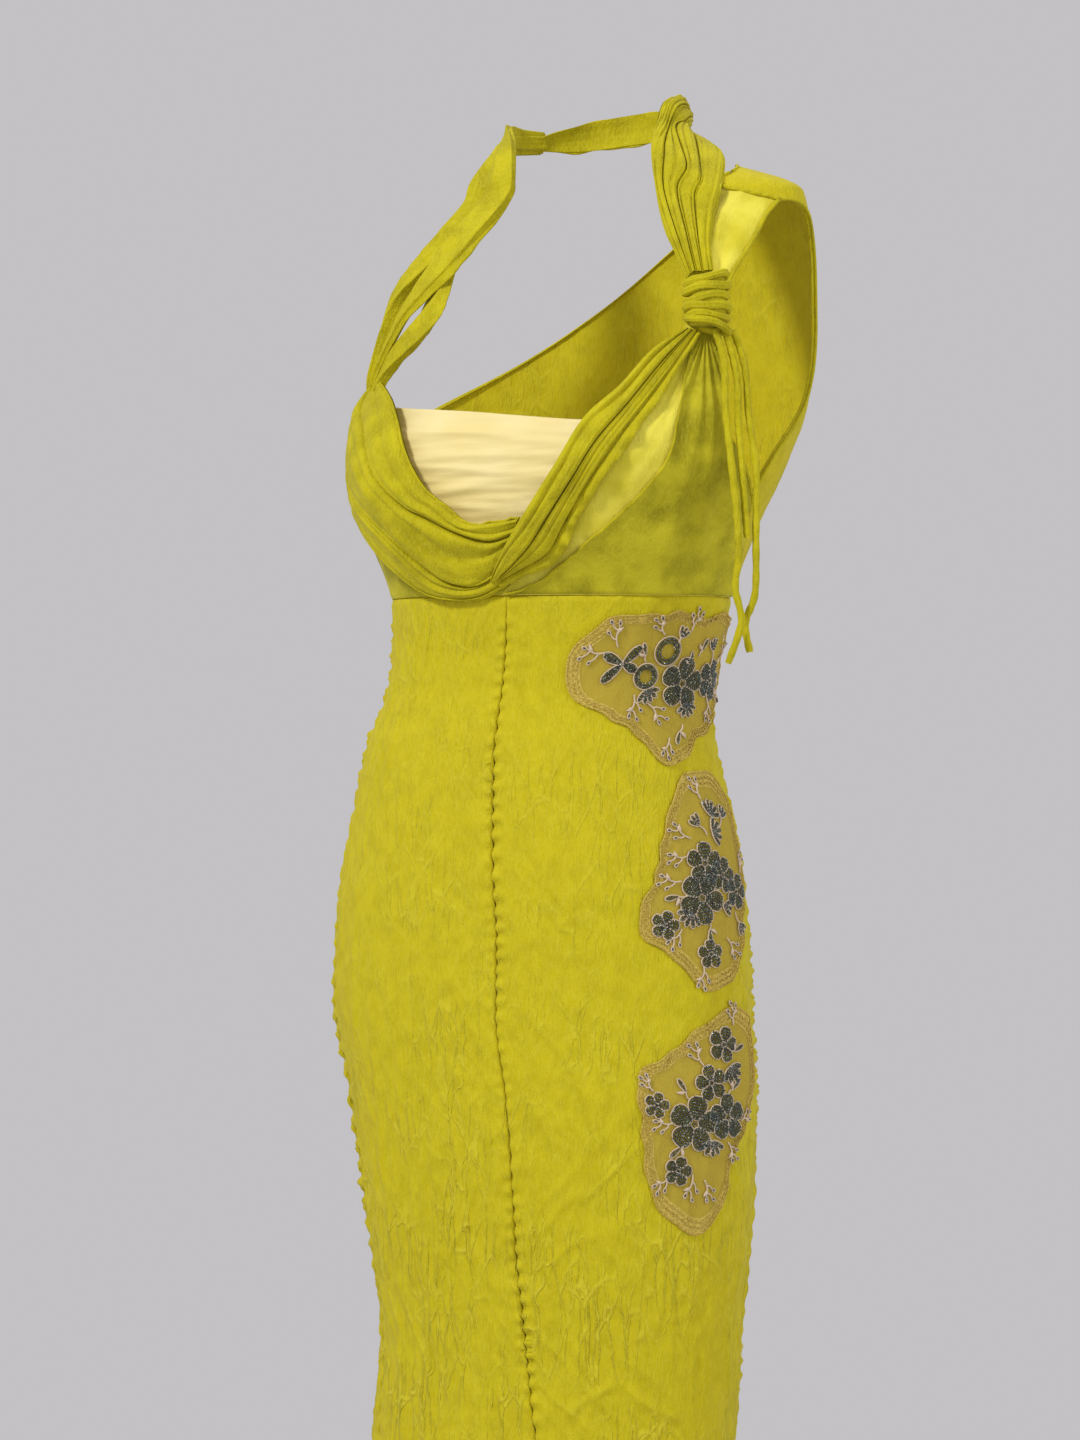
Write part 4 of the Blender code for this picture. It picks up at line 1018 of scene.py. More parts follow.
def make_cowl():
    """The scarf's folds across the bust and up to the knot, its ruffled flap and its hems."""
    make_band("cowl_folds", COWL_LINES, COWL_RISES, 170, 120, 11, (0.26, 0.20), ("cowl_right",))
    make_band("roll_folds", ROLL_LINES, ROLL_RISES, 180, 90, 14, (0.25, 0.08), ("cowl_roll",))
    wall = bpy.context.scene.dress_sizes.cloth_wall

    def place(u, v):
        angle, level, lift = along(ROLL_LINES[2], u)
        hem_angle, hem_level, hem_lift = along(FLAP_HEM, u)
        ruffle = 0.0022 * np.sin(u * 47 + 1.5 * np.sin(u * 17)) + 0.0012 * np.sin(u * 101)
        top_lift = (lift + 2.0) / 1000
        end_lift = hem_lift / 1000 + 0.0035 + ruffle * smooth(3 * u) * smooth(3 - 3 * u)
        share = v**0.9 + 0.10 * np.sin(u * 39 + 0.8) * v
        flap_lift = top_lift + (end_lift - top_lift) * v + 0.002 * np.sin(math.pi * v)
        return on_figure(angle + (hem_angle - angle) * share, level + (hem_level - level) * share,
                         flap_lift)

    mesh = grid_mesh("cowl_flap", 220, 14, place, FLAP_CUT)
    flap = add_piece("cowl_flap", mesh, finish("scarf"), (), wall * 0.7)
    paths = [
        line_thread(COWL_LINES[0], 0.0022, 0.0010, 0.0005),
        line_thread(COWL_LINES[2], 0.0018, 0.0008, 0.0004),
        line_thread(COWL_LINES[3], 0.0012, 0.0011, 0.0004),
        line_thread(ROLL_LINES[1], 0.0012, 0.0009, 0.0007),
    ]
    add_piece("scarf_hems", thread_mesh("scarf_hems", paths, 8), finish("scarf"))


def make_collar():
    """The scarf from the knot round behind the neck, and the strands of the strap."""
    make_band("collar_folds", COLLAR_LINES, COLLAR_RISES, 280, 130, 21, (0.37, 0.11),
              ("collar_left", "collar_back"))
    make_strands()
    paths = [
        line_thread(COLLAR_LINES[0], 0.0015, 0.0009, 0.0005),
        line_thread(COLLAR_LINES[4], 0.0012, 0.0011, 0.0007),
    ]
    add_piece("collar_hems", thread_mesh("collar_hems", paths, 8), finish("scarf"))


# Tie -----------------------------------------------------------------------------------------
KNOT_ANGLE = 56.5
KNOT_LEVEL = -0.134
KNOT_LIFT = 0.0152  # of its middle off the figure
KNOT_HALF_WIDTH = 0.0165
KNOT_HALF_DEPTH = 0.0120
KNOT_CORE = 0.88  # the cloth inside the turns, as a share of their size
KNOT_CORE_HEIGHT = 0.038
# The turns of the tie round the shoulder: level of its middle, rise to its left, width mm.
KNOT_TURNS = (
    (-0.1160, 7.5, 6.6), (-0.1238, 4.0, 7.0), (-0.1318, 5.5, 6.8), (-0.1396, -0.5, 7.2),
    (-0.1468, -4.0, 6.2), (-0.1530, -11.0, 6.0),
)
TIE_WIDTH = 0.0062
# The routes of the loose strands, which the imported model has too.
TIE_ROUTES = {
    "tie_long": (
        (0.1470, -0.0985, -0.1536), (0.1505, -0.0965, -0.1640), (0.1545, -0.0955, -0.1820),
        (0.1550, -0.0950, -0.2130), (0.1585, -0.0930, -0.2520), (0.1625, -0.0900, -0.2960),
        (0.1630, -0.0870, -0.3310), (0.1600, -0.0860, -0.3570), (0.1640, -0.0840, -0.3840),
        (0.1530, -0.0840, -0.4160),
    ),
    "tie_middle": (
        (0.1527, -0.0927, -0.1545), (0.1565, -0.0900, -0.1650), (0.1625, -0.0880, -0.1950),
        (0.1630, -0.0875, -0.2240), (0.1645, -0.0860, -0.2520), (0.1665, -0.0835, -0.2870),
        (0.1680, -0.0810, -0.3170),
    ),
    "tie_short": (
        (0.1580, -0.0872, -0.1545), (0.1615, -0.0835, -0.1645), (0.1670, -0.0820, -0.1860),
        (0.1690, -0.0800, -0.2210), (0.1740, -0.0770, -0.2650), (0.1730, -0.0750, -0.3130),
        (0.1720, -0.0740, -0.3600), (0.1630, -0.0720, -0.3840), (0.1665, -0.0715, -0.4070),
    ),
}


def make_ties():
    """The loose strands, as limp cords that thicken and thin a little along their length."""
    for name, route in TIE_ROUTES.items():
        points = np.moveaxis(along(route, np.linspace(0, 1, 140)), 0, -1)
        curve = bpy.data.curves.new(name + "_cloth", "CURVE")
        curve.dimensions = "3D"
        spline = curve.splines.new("POLY")
        spline.points.add(len(points) - 1)
        for k, (point, at) in enumerate(zip(spline.points, points)):
            point.co = (*at, 1)
            uneven = 0.10 * noise.noise((k * 0.11, 0.3, len(name))) + 0.06 * math.sin(k * 0.9)
            point.radius = 0.92 + uneven
            point.tilt = 0.35 * math.sin(k * 0.07)
        curve.bevel_depth = TIE_WIDTH / 2
        curve.bevel_resolution = 4
        curve.use_fill_caps = True
        curve.materials.append(finish("scarf"))
        strand = add_object(name + "_cloth", curve)
        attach(strand, "root")
        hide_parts(name)


def knot_frame():
    """The knot's middle, its axis upwards, its own left and outwards."""
    centre, above, below = (
        on_figure(KNOT_ANGLE, KNOT_LEVEL + rise, KNOT_LIFT) for rise in (0, 0.020, -0.020)
    )
    axis = unit(above - below)
    out = unit(centre - on_figure(KNOT_ANGLE, KNOT_LEVEL, 0))
    across = unit(np.cross(axis, out))
    return centre, axis, across, unit(np.cross(across, axis))


def make_knot():
    """The turns of the tie, each a closed ring of pleated cloth, round the cloth inside them."""
    centre, axis, across, out = knot_frame()
    body = bmesh.new()
    for k, (level, rise, wide) in enumerate(KNOT_TURNS):

        def place(u, v, k=k, level=level, rise=rise, wide=wide):
            turn, round_it = 2 * math.pi * u, 2 * math.pi * v
            flat, deep = np.cos(round_it), np.sin(round_it)
            pleat = 0.7 * np.cos(2.6 * math.pi * flat + 2 * np.sin(turn + k)) * np.maximum(deep, 0)
            thick = 3.2 + 0.6 * np.sin(2 * turn + k) + pleat
            radial = (np.sign(deep) * np.abs(deep) ** 0.8 * thick + 1.3 * (k % 2) - 1.5) / 1000
            up = level - KNOT_LEVEL + rise / 1000 * np.cos(turn) / 2 + wide / 2000 * flat
            up = up + 0.0008 * np.sin(3 * turn + 2 * k)
            spoke = across * ((KNOT_HALF_WIDTH + radial) * np.cos(turn))[..., None]
            spoke = spoke + out * ((KNOT_HALF_DEPTH + radial) * np.sin(turn))[..., None]
            return centre + axis * up[..., None] + spoke

        turn_mesh = grid_mesh("turn", 64, 24, place, (0.1, 0.02), closed=True)
        body.from_mesh(turn_mesh)
        bpy.data.meshes.remove(turn_mesh)
    core = bmesh.ops.create_cone(body, segments=48, radius1=1, radius2=1, depth=1, cap_ends=True)
    for vert in core["verts"]:
        x, y, z = vert.co
        at = centre + axis * (z * KNOT_CORE_HEIGHT) + across * (x * KNOT_HALF_WIDTH * KNOT_CORE)
        vert.co = Vector(at + out * (y * KNOT_HALF_DEPTH * KNOT_CORE))
    mesh = as_mesh("knot_wraps", body)
    add_piece("knot_wraps", mesh, finish("scarf"), ("knot_wrap",))


# Net and beads -------------------------------------------------------------------------------
# A patch of net: node, angle, level, the hip's radius there in mm, how far its edge reaches in mm
# in twelve directions, and its ornaments: kind, angle, level, size mm, turn in degrees.
PATCHES = (
    ("net_waist", 70.0, -0.425, 142, (88, 92, 56, 53, 58, 85, 102, 66, 57, 74, 61, 74), (
        ("butterfly", 51.4, -0.4155, 17, 8), ("ring", 66.9, -0.405, 9.5, 0),
        ("ring", 60.3, -0.4255, 8.5, 0), ("fan", 61.0, -0.436, 10, -60),
        ("flower", 74.7, -0.431, 16, 10), ("fan", 76.9, -0.447, 10, -80),
        ("leaf", 74.2, -0.470, 11, -110), ("sprig", 48.5, -0.402, 22, 95),
        ("sprig", 44.8, -0.406, 26, 172), ("sprig", 57.0, -0.440, 20, -100),
        ("sprig", 62.0, -0.447, 22, -55), ("sprig", 70.0, -0.475, 16, -120),
        ("bud", 70.5, -0.394, 9, 60), ("sprig", 64.5, -0.392, 15, 110),
        ("sprig", 74.5, -0.389, 18, 60), ("leaf", 59.0, -0.408, 10, 110),
        ("leaf", 76.5, -0.415, 10, 85), ("flower", 89.0, -0.428, 13, 0),
        ("bud", 87.6, -0.404, 10, 100), ("sprig", 88.0, -0.442, 20, -95),
        ("sprig", 95.0, -0.415, 20, 40), ("leaf", 96.0, -0.440, 12, -30),
        ("leaf", 81.5, -0.404, 10, 70),
    )),
    ("net_hip", 76.0, -0.592, 168, (58, 66, 90, 91, 64, 50, 51, 73, 70, 88, 73, 55), (
        ("sprig", 77.7, -0.525, 18, 95), ("fan", 80.2, -0.538, 11, 60),
        ("bud", 75.2, -0.546, 10, 130), ("fan", 79.5, -0.552, 11, 10),
        ("bud", 85.2, -0.540, 10, 50), ("sprig", 71.6, -0.556, 20, 140),
        ("sprig", 70.0, -0.570, 18, 175), ("flower", 75.5, -0.576, 13, 15),
        ("flower", 82.0, -0.586, 11, 0), ("flower", 73.8, -0.604, 16, -10),
        ("fan", 70.2, -0.615, 11, -120), ("sprig", 67.6, -0.590, 20, 165),
        ("leaf", 66.5, -0.602, 12, 190), ("flower", 62.2, -0.625, 9, 0),
        ("sprig", 67.0, -0.628, 18, -140), ("flower", 75.4, -0.649, 9, 20),
        ("sprig", 81.5, -0.637, 20, -60), ("sprig", 73.0, -0.658, 18, -110),
        ("bud", 81.0, -0.610, 11, -20), ("leaf", 75.6, -0.629, 12, -90),
        ("flower", 88.0, -0.600, 11, 0), ("sprig", 91.0, -0.585, 18, 40),
        ("bud", 88.6, -0.625, 10, -60),
    )),
    ("net_thigh", 72.0, -0.778, 170, (52, 80, 98, 73, 60, 68, 59, 66, 86, 94, 50, 44), (
        ("flower", 78.6, -0.722, 11, 0), ("leaf", 82.8, -0.728, 12, 20),
        ("fan", 80.4, -0.740, 12, -60), ("sprig", 82.8, -0.707, 18, 80),
        ("flower", 73.6, -0.752, 11, 30), ("sprig", 71.6, -0.738, 20, 105),
        ("flower", 67.9, -0.784, 17, 5), ("flower", 78.7, -0.780, 14, 20),
        ("flower", 57.0, -0.768, 8, 0), ("sprig", 56.4, -0.757, 14, 110),
        ("leaf", 65.6, -0.758, 12, 120), ("sprig", 62.0, -0.782, 18, 175),
        ("leaf", 63.6, -0.802, 12, -140), ("fan", 73.4, -0.798, 11, -90),
        ("sprig", 78.6, -0.800, 18, -70), ("flower", 63.0, -0.821, 9, 0),
        ("sprig", 60.8, -0.824, 18, -150), ("sprig", 67.2, -0.824, 20, -110),
        ("sprig", 71.0, -0.829, 18, -80), ("leaf", 81.0, -0.758, 12, 40),
        ("sprig", 84.0, -0.784, 16, 0),
    )),
)
SCALLOPS = 15
SCALLOP_DEPTH = 2.5  # mm
NET_LIFT = 0.0013
NET_MAP = 0.16  # the size of a patch on its cloth map
BORDER = 0.86  # the share of a patch's size where its stitched border starts
# The stitches round a patch: share of its size, ripple mm, ripples all round, thread's radius.
STITCHES = ((0.985, 0.5, 160, 0.0006), (0.93, 1.1, 130, 0.0004), (0.885, 0.9, 110, 0.0004))


def on_hip(patch, x, y, lift):
    """Points x and y mm from a patch's middle, over the skirt's cloth."""
    angle, level, radius = patch[1:4]
    height = level + y / 1000
    return skirt_point(angle + np.degrees(x / radius) - eased(TWIST, 1, height), height, lift)


def patch_reach(patch, turn):
    """How far a patch's scalloped edge lies from its middle, in mm."""
    reaches = patch[4]
    edge = along([(r,) for r in (*reaches, reaches[0])], turn / (2 * math.pi))[0]
    return edge - SCALLOP_DEPTH * (0.5 - 0.5 * np.cos(SCALLOPS * turn))


def make_net():
    """The patches of net, with their stitched borders and the threads round them."""
    for patch in PATCHES:

        def place(u, v, patch=patch):
            turn = 2 * math.pi * u
            reach = patch_reach(patch, turn) * v
            return on_hip(patch, reach * np.cos(turn), reach * np.sin(turn), NET_LIFT)

        name = patch[0] + "_tulle"
        mesh = grid_mesh(name, 150, 40, place, (NET_MAP, NET_MAP), closed=True)
        mesh.materials.append(finish("net"))
        mesh.materials.append(finish("stitched net"))
        piece = add_piece(name, mesh, finish("net"), (patch[0],))
        uv = mesh.uv_layers["cloth"].data
        for face in mesh.polygons:
            share = sum(uv[k].uv.y for k in face.loop_indices) / face.loop_total / NET_MAP
            face.material_index = 1 if share > BORDER else 0
        turn = np.linspace(0, 2 * math.pi, 420)
        paths = []
        for share, ripple, waves, radius in STITCHES:
            reach = patch_reach(patch, turn) * share + ripple * np.sin(waves * turn)
            points = on_hip(patch, reach * np.cos(turn), reach * np.sin(turn), NET_LIFT + 0.0004)
            paths.append((points, radius))
        thread = thread_mesh(patch[0] + "_stitches", paths, 5)
        add_piece(patch[0] + "_stitches", thread, finish("stitched net"))


BEAD_LENGTH, BEAD_WIDTH, BEAD_DEPTH = 2.2, 1.5, 1.3  # mm
BEAD_ROW = 2.1  # from one row of a petal's beads to the next, in mm


def petal(x, y, turn, length, width):
    """One petal: its outline, and its beads as x, y, turn, length and width in mm."""
    t = np.linspace(0, 1, 19)
    ahead = length * (0.5 - 0.5 * np.cos(2 * math.pi * t))
    side = width / 2 * np.sin(2 * math.pi * t) * (0.55 + 0.45 * ahead / length)
    s, c = math.sin(math.radians(turn)), math.cos(math.radians(turn))
    outline = np.stack((x + ahead * c - side * s, y + ahead * s + side * c))
    beads = []
    rows = max(1, int((length - 1.2) / BEAD_ROW))
    for row in range(rows):
        share = (row + 0.65) / (rows + 0.3)
        room = width * math.sqrt(share * (1 - share)) * (0.55 + 0.45 * share) - 1.0
        across = max(1, int(2 * room / BEAD_WIDTH) + 1)
        for k in range(across):
            off = (k - (across - 1) / 2) * BEAD_WIDTH
            at = x + share * length * c - off * s, y + share * length * s + off * c
            beads.append((*at, turn + 6 * off, BEAD_LENGTH, BEAD_WIDTH))
    return outline, beads


def ring_of(x, y, radius, rows):
    """A round outline, with beads laid outwards in rings. A row: radius and number of beads."""
    t = np.linspace(0, 2 * math.pi, 25)
    outline = np.stack((x + radius * np.cos(t), y + radius * np.sin(t)))
    beads = []
    for away, count in rows:
        for k in range(count):
            a = 2 * math.pi * k / count
            at = x + away * math.cos(a), y + away * math.sin(a)
            beads.append((*at, math.degrees(a), 2.3, BEAD_WIDTH))
    return outline, beads


def bent(start, turn, length, bow):
    """A curved stem: its points in mm, from start along turn, bowed to one side."""
    t = np.linspace(0, 1, 12)
    s, c = math.sin(math.radians(turn)), math.cos(math.radians(turn))
    side = bow * np.sin(math.pi * t)
    return np.stack((start[0] + t * length * c - side * s, start[1] + t * length * s + side * c))


GROWN = 1.18  # how much larger a beaded ornament is drawn than the size in its row
STEM = (0.9, 0.9, 0.7)  # how thick a stem of cord is at its start, middle and end
BLADE = (0.5, 2.0, 0.4)  # a leaf of satin stitches


def ornament(kind, x, y, size, turn):
    """The outlines, the stems with their thickness, and the beads of one ornament."""
    loops, stems, beads = [], [], []

    def add(made):
        loops.append(made[0])
        beads.extend(made[1])

    def off(way, away):
        return x + away * math.cos(math.radians(way)), y + away * math.sin(math.radians(way))

    if kind in ("flower", "ring", "butterfly", "fan", "bud"):
        size *= GROWN
    if kind == "flower":
        for k in range(5):
            way = turn + 72 * k
            add(petal(*off(way, size * 0.15), way, size * 0.98, size * 1.12))
        beads.extend(ring_of(x, y, 1, ((1.2, 3),))[1])
    elif kind == "ring":
        rows = ((size * 0.86, round(size * 3.5)), (size * 0.64, round(size * 2.6)))
        add(ring_of(x, y, size + 0.6, rows))
    elif kind == "butterfly":
        for way, length in ((38, 1.0), (150, 1.0), (212, 1.15), (-30, 0.7)):
            add(petal(x, y, turn + way, size * length, size * 0.50))
    elif kind == "fan":
        for way in (-60, -30, 0, 30, 60):
            add(petal(x, y, turn + way, size, size * 0.46))
    elif kind == "bud":
        for way in (-30, 0, 30):
            add(petal(x, y, turn + way, size * 0.9, size * 0.44))
        stems.append((bent((x, y), turn + 180, size * 0.9, 1.5), STEM))
    elif kind == "leaf":
        add(petal(x, y, turn, size, size * 0.44))
        stems.append((bent((x, y), turn + 60, size * 0.7, 0.8), BLADE))
        stems.append((bent((x, y), turn + 175, size * 0.6, -1.0), STEM))
    else:
        stem = bent((x, y), turn, size * 0.75, size * 0.10)
        stems.append((stem, STEM))
        for k, share in ((4, 50), (7, -48), (9, 42)):
            at = stem[:, k]
            stems.append((bent(at, turn + share, size * 0.34, 0.8), BLADE if k == 7 else STEM))
            tip = bent(at, turn + share, size * 0.34, 0.8)[:, -1]
            if k != 7:
                add(petal(*tip, turn + share, 4.2, 2.6))
        add(petal(*stem[:, -1], turn, 5.0, 2.8))
    return loops, stems, beads


def many_beads(name, middles, axes, reaches):
    """Beads in one mesh: each has its middle, its three axes and how far it reaches along them."""
    one = bmesh.new()
    bmesh.ops.create_uvsphere(one, u_segments=8, v_segments=5, radius=1)
    bead = as_mesh("bead", one)
    body = bmesh.new()
    for _ in middles:
        body.from_mesh(bead)
    mesh = as_mesh(name, body)
    ball = np.array([vert.co for vert in bead.vertices])
    bpy.data.meshes.remove(bead)
    places = middles[:, None] + (ball * reaches[:, None]) @ axes
    mesh.vertices.foreach_set("co", places.ravel())
    mesh.update()
    return mesh


def make_beadwork():
    """Cord outlines and dark beads, sewn on the net in flowers, buds and sprigs."""
    sizes = bpy.context.scene.dress_sizes
    for patch in PATCHES:
        name, angle, level, radius, _, ornaments = patch
        loops, stems, beads = [], [], []
        for kind, at_angle, at_level, size, turn in ornaments:
            x, y = math.radians(at_angle - angle) * radius, (at_level - level) * 1000
            made = ornament(kind, x, y, size, turn)
            loops += made[0]
            stems += made[1]
            beads += made[2]
        lift = NET_LIFT + 0.0008
        paths = [(on_hip(patch, x, y, lift), sizes.cord_radius * 0.70) for x, y in loops]
        for points, thickness in stems:
            thick = along([(k,) for k in thickness], np.linspace(0, 1, points.shape[1]))[0]
            paths.append((on_hip(patch, *points, lift), sizes.cord_radius * thick))
        cords = thread_mesh(name + "_cording", paths, 6)
        add_piece(name + "_cording", cords, finish("thread"))
        table = np.array(beads)
        x, y, turn, length, width = table.T
        s, c = np.sin(np.radians(turn)), np.cos(np.radians(turn))
        middle = on_hip(patch, x, y, lift + 0.0006)
        out = unit(on_hip(patch, x, y, lift + 0.0016) - middle)
        ahead = unit(on_hip(patch, x + c, y + s, lift + 0.0006) - middle)
        side = unit(np.cross(out, ahead))
        ahead = np.cross(side, out)
        count = len(table)
        uneven = np.array([1 + 0.18 * noise.noise((k * 0.7, 2.0, radius)) for k in range(count)])
        factor = uneven * sizes.bead_size
        reach = (length * factor, width * factor, np.full(count, BEAD_DEPTH))
        reach = np.stack(reach, axis=-1) / 2000
        mesh = many_beads(name + "_beads", middle, np.stack((ahead, side, out), axis=1), reach)
        add_piece(name + "_beads", mesh, finish("bead"))


# Stage ---------------------------------------------------------------------------------------
VIEW_TURN = 24.0  # how far the camera stands round to the wearer's left, in degrees
VIEW_DISTANCE = 3.6
VIEW_ACROSS = -0.0426
VIEW_HEIGHT = -0.4607
LENS, SENSOR = 109.8, 36.0  # mm
LIGHTS = (  # name, metres right, towards the camera and up, size, power
    ("key", -1.9, 2.0, 1.5, 0.6, 58.0), ("fill", 2.2, 1.6, 0.2, 1.6, 18.0),
    ("top", 0.2, -0.8, 2.2, 1.6, 14.0),
)
LIT_POINT = (0, 0, -0.5)
FLOOR_LEVEL = -1.5
FLOOR_RADIUS = 2.3


def aim(place, target):
    """The turn of a camera or a lamp at a place, so that it looks at a target."""
    return (Vector(target) - Vector(place)).to_track_quat("-Z", "Y").to_euler()


def make_stage():
    """The camera where the photograph was taken from, soft lights, the backdrop and the floor."""
    colours = bpy.context.scene.dress_colours
    scene = bpy.context.scene
    turn = math.radians(VIEW_TURN)
    right = Vector((math.cos(turn), math.sin(turn), 0))
    back = Vector((math.sin(turn), -math.cos(turn), 0))
    eye = right * VIEW_ACROSS + back * VIEW_DISTANCE + Vector((0, 0, VIEW_HEIGHT))
    camera_data = bpy.data.cameras.new("camera")
    camera_data.lens = LENS
    camera_data.sensor_width = SENSOR
    camera = add_object("camera", camera_data)
    camera.location = eye
    camera.rotation_euler = aim(eye, eye - back)
    scene.camera = camera
    for name, across, forward, up, size, power in LIGHTS:
        lamp = bpy.data.lights.new(name, "AREA")
        lamp.shape = "DISK"
        lamp.size = size
        lamp.energy = power
        holder = add_object(name, lamp)
        holder.location = right * across + back * forward + Vector((0, 0, up))
        holder.rotation_euler = aim(holder.location, LIT_POINT)
    world = bpy.data.worlds.new("studio")
    world.use_nodes = True
    set_inputs(world.node_tree.nodes["Background"], {"Color": colours.background, "Strength": 1.0})
    scene.world = world
    floor = bmesh.new()
    bmesh.ops.create_circle(floor, segments=96, radius=FLOOR_RADIUS, cap_ends=True)
    bmesh.ops.translate(floor, verts=floor.verts[:], vec=(0, 0, FLOOR_LEVEL))
    mesh = as_mesh("studio_floor", floor)
    # Matt emulsion paint, with faint clouds of 50 mm from the roller.
    material, shader, at = new_material("painted floor, pale grey")
    grain = add_node(material, "ShaderNodeTexNoise",
                     {"Vector": at, "Scale": 1 / 0.05, "Detail": 3.0})
    paint = add_node(material, "ShaderNodeMix",
                     {"Factor": grain.outputs["Fac"], MIX_FIRST: colours.background,
                      MIX_SECOND: colours.floor}, data_type="RGBA")
    set_inputs(shader, {"Base Color": paint.outputs[MIXED], "Roughness": 0.7})
    mesh.materials.append(material)
    add_object("studio_floor", mesh)
    scene.view_settings.view_transform = "Standard"


# Add-on --------------------------------------------------------------------------------------


def colour_property(name, description, hex_colour):
    return bpy.props.FloatVectorProperty(
        name=name, description=description, subtype="COLOR", size=3, min=0, max=1,
        default=linear(hex_colour),
    )


class DressColours(bpy.types.PropertyGroup):
    """The colours of the dress."""

    georgette: colour_property("Georgette", "The skirt's dyed silk", "CCBD10")
    georgette_shade: colour_property("Georgette shade", "Where the dye took deeper", "C0B10D")
    # The colour of the painted highlights on the georgette: along each crease's ridge and on the
    # grain's highest points.
    georgette_pale: colour_property("Georgette highlight", "The ridge of a crease, worn pale", "E0D644")
    scarf: colour_property("Scarf", "Several layers of the silk together", "C3B708")
    scarf_shade: colour_property("Scarf shade", "Where the scarf's dye took deeper", "ABA005")
    sheer: colour_property("Sheer", "One layer of the silk over a pale ground", "CDC324")
    sheer_shade: colour_property("Sheer shade", "One layer of the silk where it folds", "8F8606")
    window: colour_property("Window", "One layer of the silk over white", "F6EA58")
    window_shade: colour_property("Window shade", "The same layer in its folds", "DCCF32")
    cream: colour_property("Cream", "The plain silk of the bandeau", "F8E8AE")
    # A painted shade: the cream as it looks in its hollows.
    cream_shade: colour_property("Cream shade", "The plain silk in its hollows", "E4CD72")
    net: colour_property("Net", "The fine tulle of the motifs", "CCB05A")
    net_pale: colour_property("Stitched net", "The stitched border of the motifs", "F2D86E")
    net_shade: colour_property("Net shade", "The tulle's thread in shadow", "CCAF44")
    bead: colour_property("Bead", "Dark glass with a teal lustre", "1C292B")
    bead_shade: colour_property("Bead shade", "The olive beads among the dark ones", "3B4630")
    # The colour of the painted glints on the beads.
    bead_silver: colour_property("Glint bead", "The beads that are lined with silver", "96A59C")
    thread: colour_property("Cord", "The pale cord round the beadwork", "E3CEB4")
    # A painted shade: the cord darker between its twists.
    thread_shade: colour_property("Cord shade", "The same cord between its twists", "BFA888")
    background: colour_property("Background", "The studio's backdrop", "C3C1C4")
    floor: colour_property("Floor", "The paler clouds of the floor's paint", "D2D0D2")


class DressSizes(bpy.types.PropertyGroup):
    """The sizes of the dress's cloth and trimmings."""

    cloth_wall: bpy.props.FloatProperty(
        name="Cloth", description="How thick a layer of cloth is drawn", default=0.0006,
        min=0.0002, max=0.003, unit="LENGTH", precision=5,
    )
    cord_radius: bpy.props.FloatProperty(
        name="Cord radius", description="Half the width of the cord in the beadwork",
        default=0.0008, min=0.0003, max=0.003, unit="LENGTH", precision=5,
    )
    bead_size: bpy.props.FloatProperty(
        name="Bead size", description="A factor on every bead's size", default=1.0,
        min=0.3, max=2.0,
    )


class DRESS_OT_stage(bpy.types.Operator):
    """Add the camera, the lights, the backdrop and the floor"""

    bl_idname = "dress.stage"
    bl_label = "Stage"

    def execute(self, context):
        make_stage()
        return {"FINISHED"}


class DRESS_OT_ties(bpy.types.Operator):
    """Add the three loose strands of the tie"""

    bl_idname = "dress.ties"
    bl_label = "Tie Strands"

    def execute(self, context):
        make_ties()
        return {"FINISHED"}


class DRESS_OT_skirt(bpy.types.Operator):
    """Add the three panels of the bias skirt and its hem"""

    bl_idname = "dress.skirt"
    bl_label = "Skirt"

    def execute(self, context):
        for panel in SKIRT_PANELS:
            make_skirt_panel(*panel)
        make_hem()
        return {"FINISHED"}


class DRESS_OT_bodice(bpy.types.Operator):
    """Add the gathered bodice, its back and the yoke"""

    bl_idname = "dress.bodice"
    bl_label = "Bodice"

    def execute(self, context):
        make_bodice()
        return {"FINISHED"}


class DRESS_OT_bandeau(bpy.types.Operator):
    """Add the cream band across the bust"""

    bl_idname = "dress.bandeau"
    bl_label = "Bandeau"

    def execute(self, context):
        make_bandeau()
        return {"FINISHED"}


class DRESS_OT_cowl(bpy.types.Operator):
    """Add the scarf's folds across the bust"""

    bl_idname = "dress.cowl"
    bl_label = "Cowl"

    def execute(self, context):
        make_cowl()
        return {"FINISHED"}


class DRESS_OT_collar(bpy.types.Operator):
    """Add the scarf over the shoulders and behind the neck"""

    bl_idname = "dress.collar"
    bl_label = "Collar and Strap"

    def execute(self, context):
        make_collar()
        return {"FINISHED"}


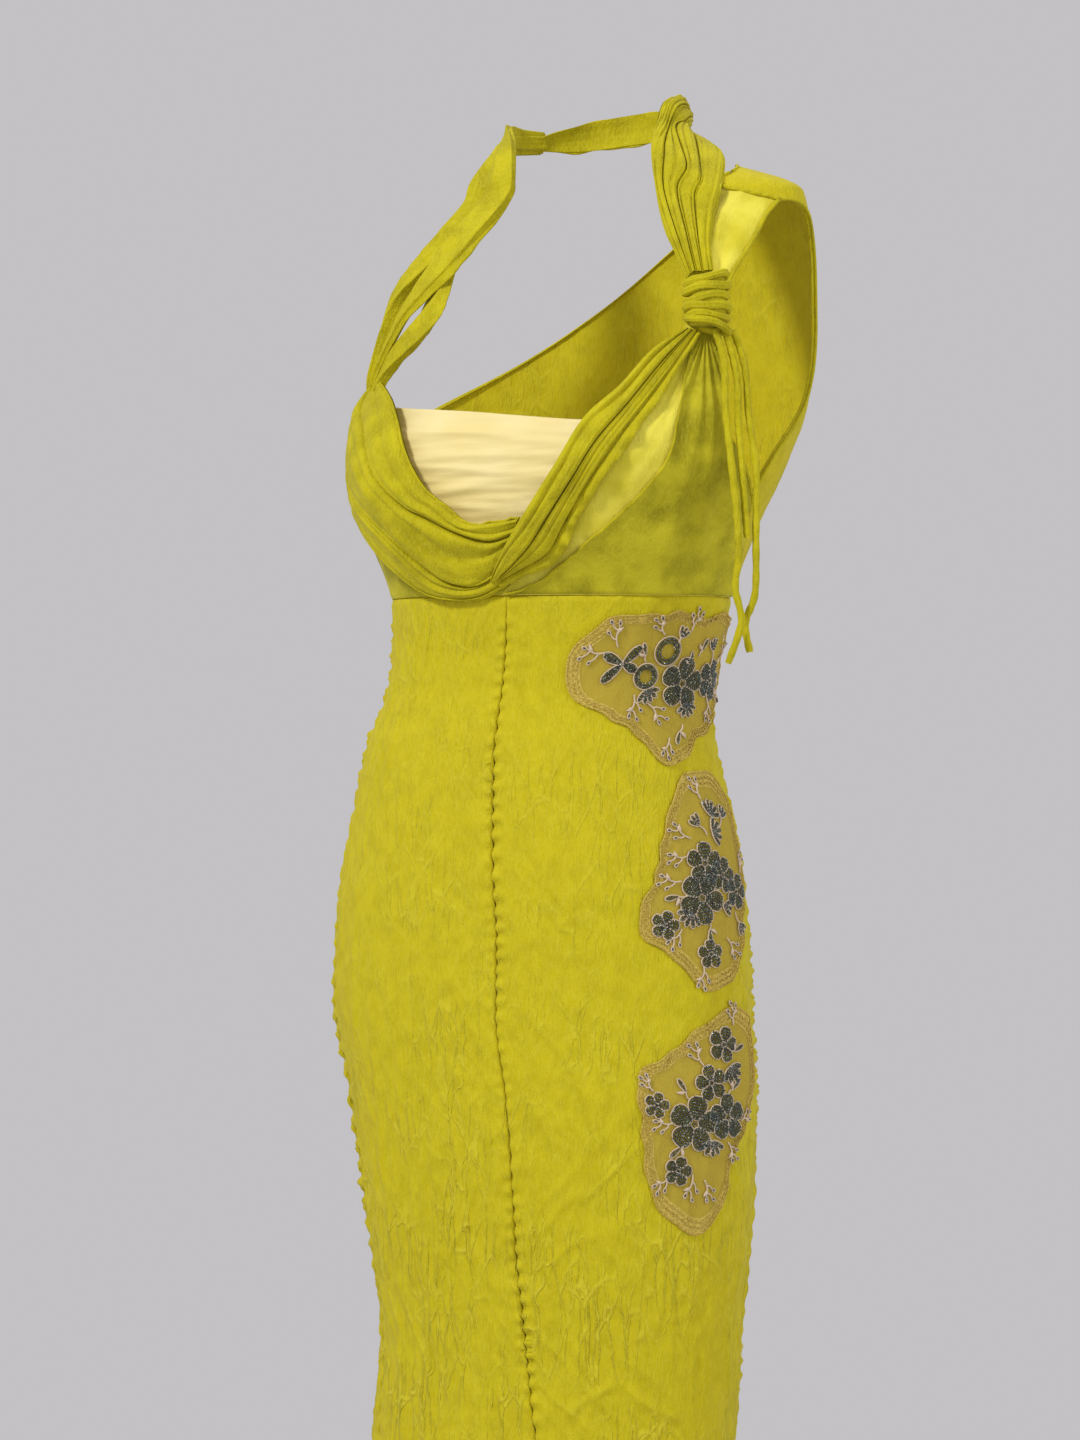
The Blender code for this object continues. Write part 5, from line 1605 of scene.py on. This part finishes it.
class DRESS_OT_knot(bpy.types.Operator):
    """Add the turns of the tie round the gathered shoulder"""

    bl_idname = "dress.knot"
    bl_label = "Knot"

    def execute(self, context):
        make_knot()
        return {"FINISHED"}


class DRESS_OT_net(bpy.types.Operator):
    """Add the three patches of net on the left hip"""

    bl_idname = "dress.net"
    bl_label = "Net"

    def execute(self, context):
        make_net()
        return {"FINISHED"}


class DRESS_OT_beadwork(bpy.types.Operator):
    """Add the cord and the beads on the net"""

    bl_idname = "dress.beadwork"
    bl_label = "Beadwork"

    def execute(self, context):
        make_beadwork()
        return {"FINISHED"}


OPERATORS = (
    DRESS_OT_stage, DRESS_OT_ties, DRESS_OT_skirt, DRESS_OT_bodice, DRESS_OT_bandeau,
    DRESS_OT_cowl, DRESS_OT_collar, DRESS_OT_knot, DRESS_OT_net, DRESS_OT_beadwork,
)


class DRESS_PT_panel(bpy.types.Panel):
    """Everything in this file, in the order that main() makes it."""

    bl_idname = "DRESS_PT_panel"
    bl_label = "Midi Dress"
    bl_space_type = "VIEW_3D"
    bl_region_type = "UI"
    bl_category = "Dress"

    def draw(self, context):
        for group in (context.scene.dress_sizes, context.scene.dress_colours):
            column = self.layout.column()
            for key in group.__annotations__:
                column.prop(group, key)
        for operator in OPERATORS:
            self.layout.operator(operator.bl_idname)


CLASSES = (DressColours, DressSizes, *OPERATORS, DRESS_PT_panel)


def register():
    for cls in CLASSES:
        bpy.utils.register_class(cls)
    bpy.types.Scene.dress_colours = bpy.props.PointerProperty(type=DressColours)
    bpy.types.Scene.dress_sizes = bpy.props.PointerProperty(type=DressSizes)


def unregister():
    del bpy.types.Scene.dress_sizes
    del bpy.types.Scene.dress_colours
    for cls in reversed(CLASSES):
        bpy.utils.unregister_class(cls)


def main():
    register()
    bpy.ops.dress.stage()
    bpy.ops.dress.ties()
    bpy.ops.dress.skirt()
    bpy.ops.dress.bodice()
    bpy.ops.dress.bandeau()
    bpy.ops.dress.cowl()
    bpy.ops.dress.collar()
    bpy.ops.dress.knot()
    bpy.ops.dress.net()
    bpy.ops.dress.beadwork()


if __name__ == "__main__":
    main()
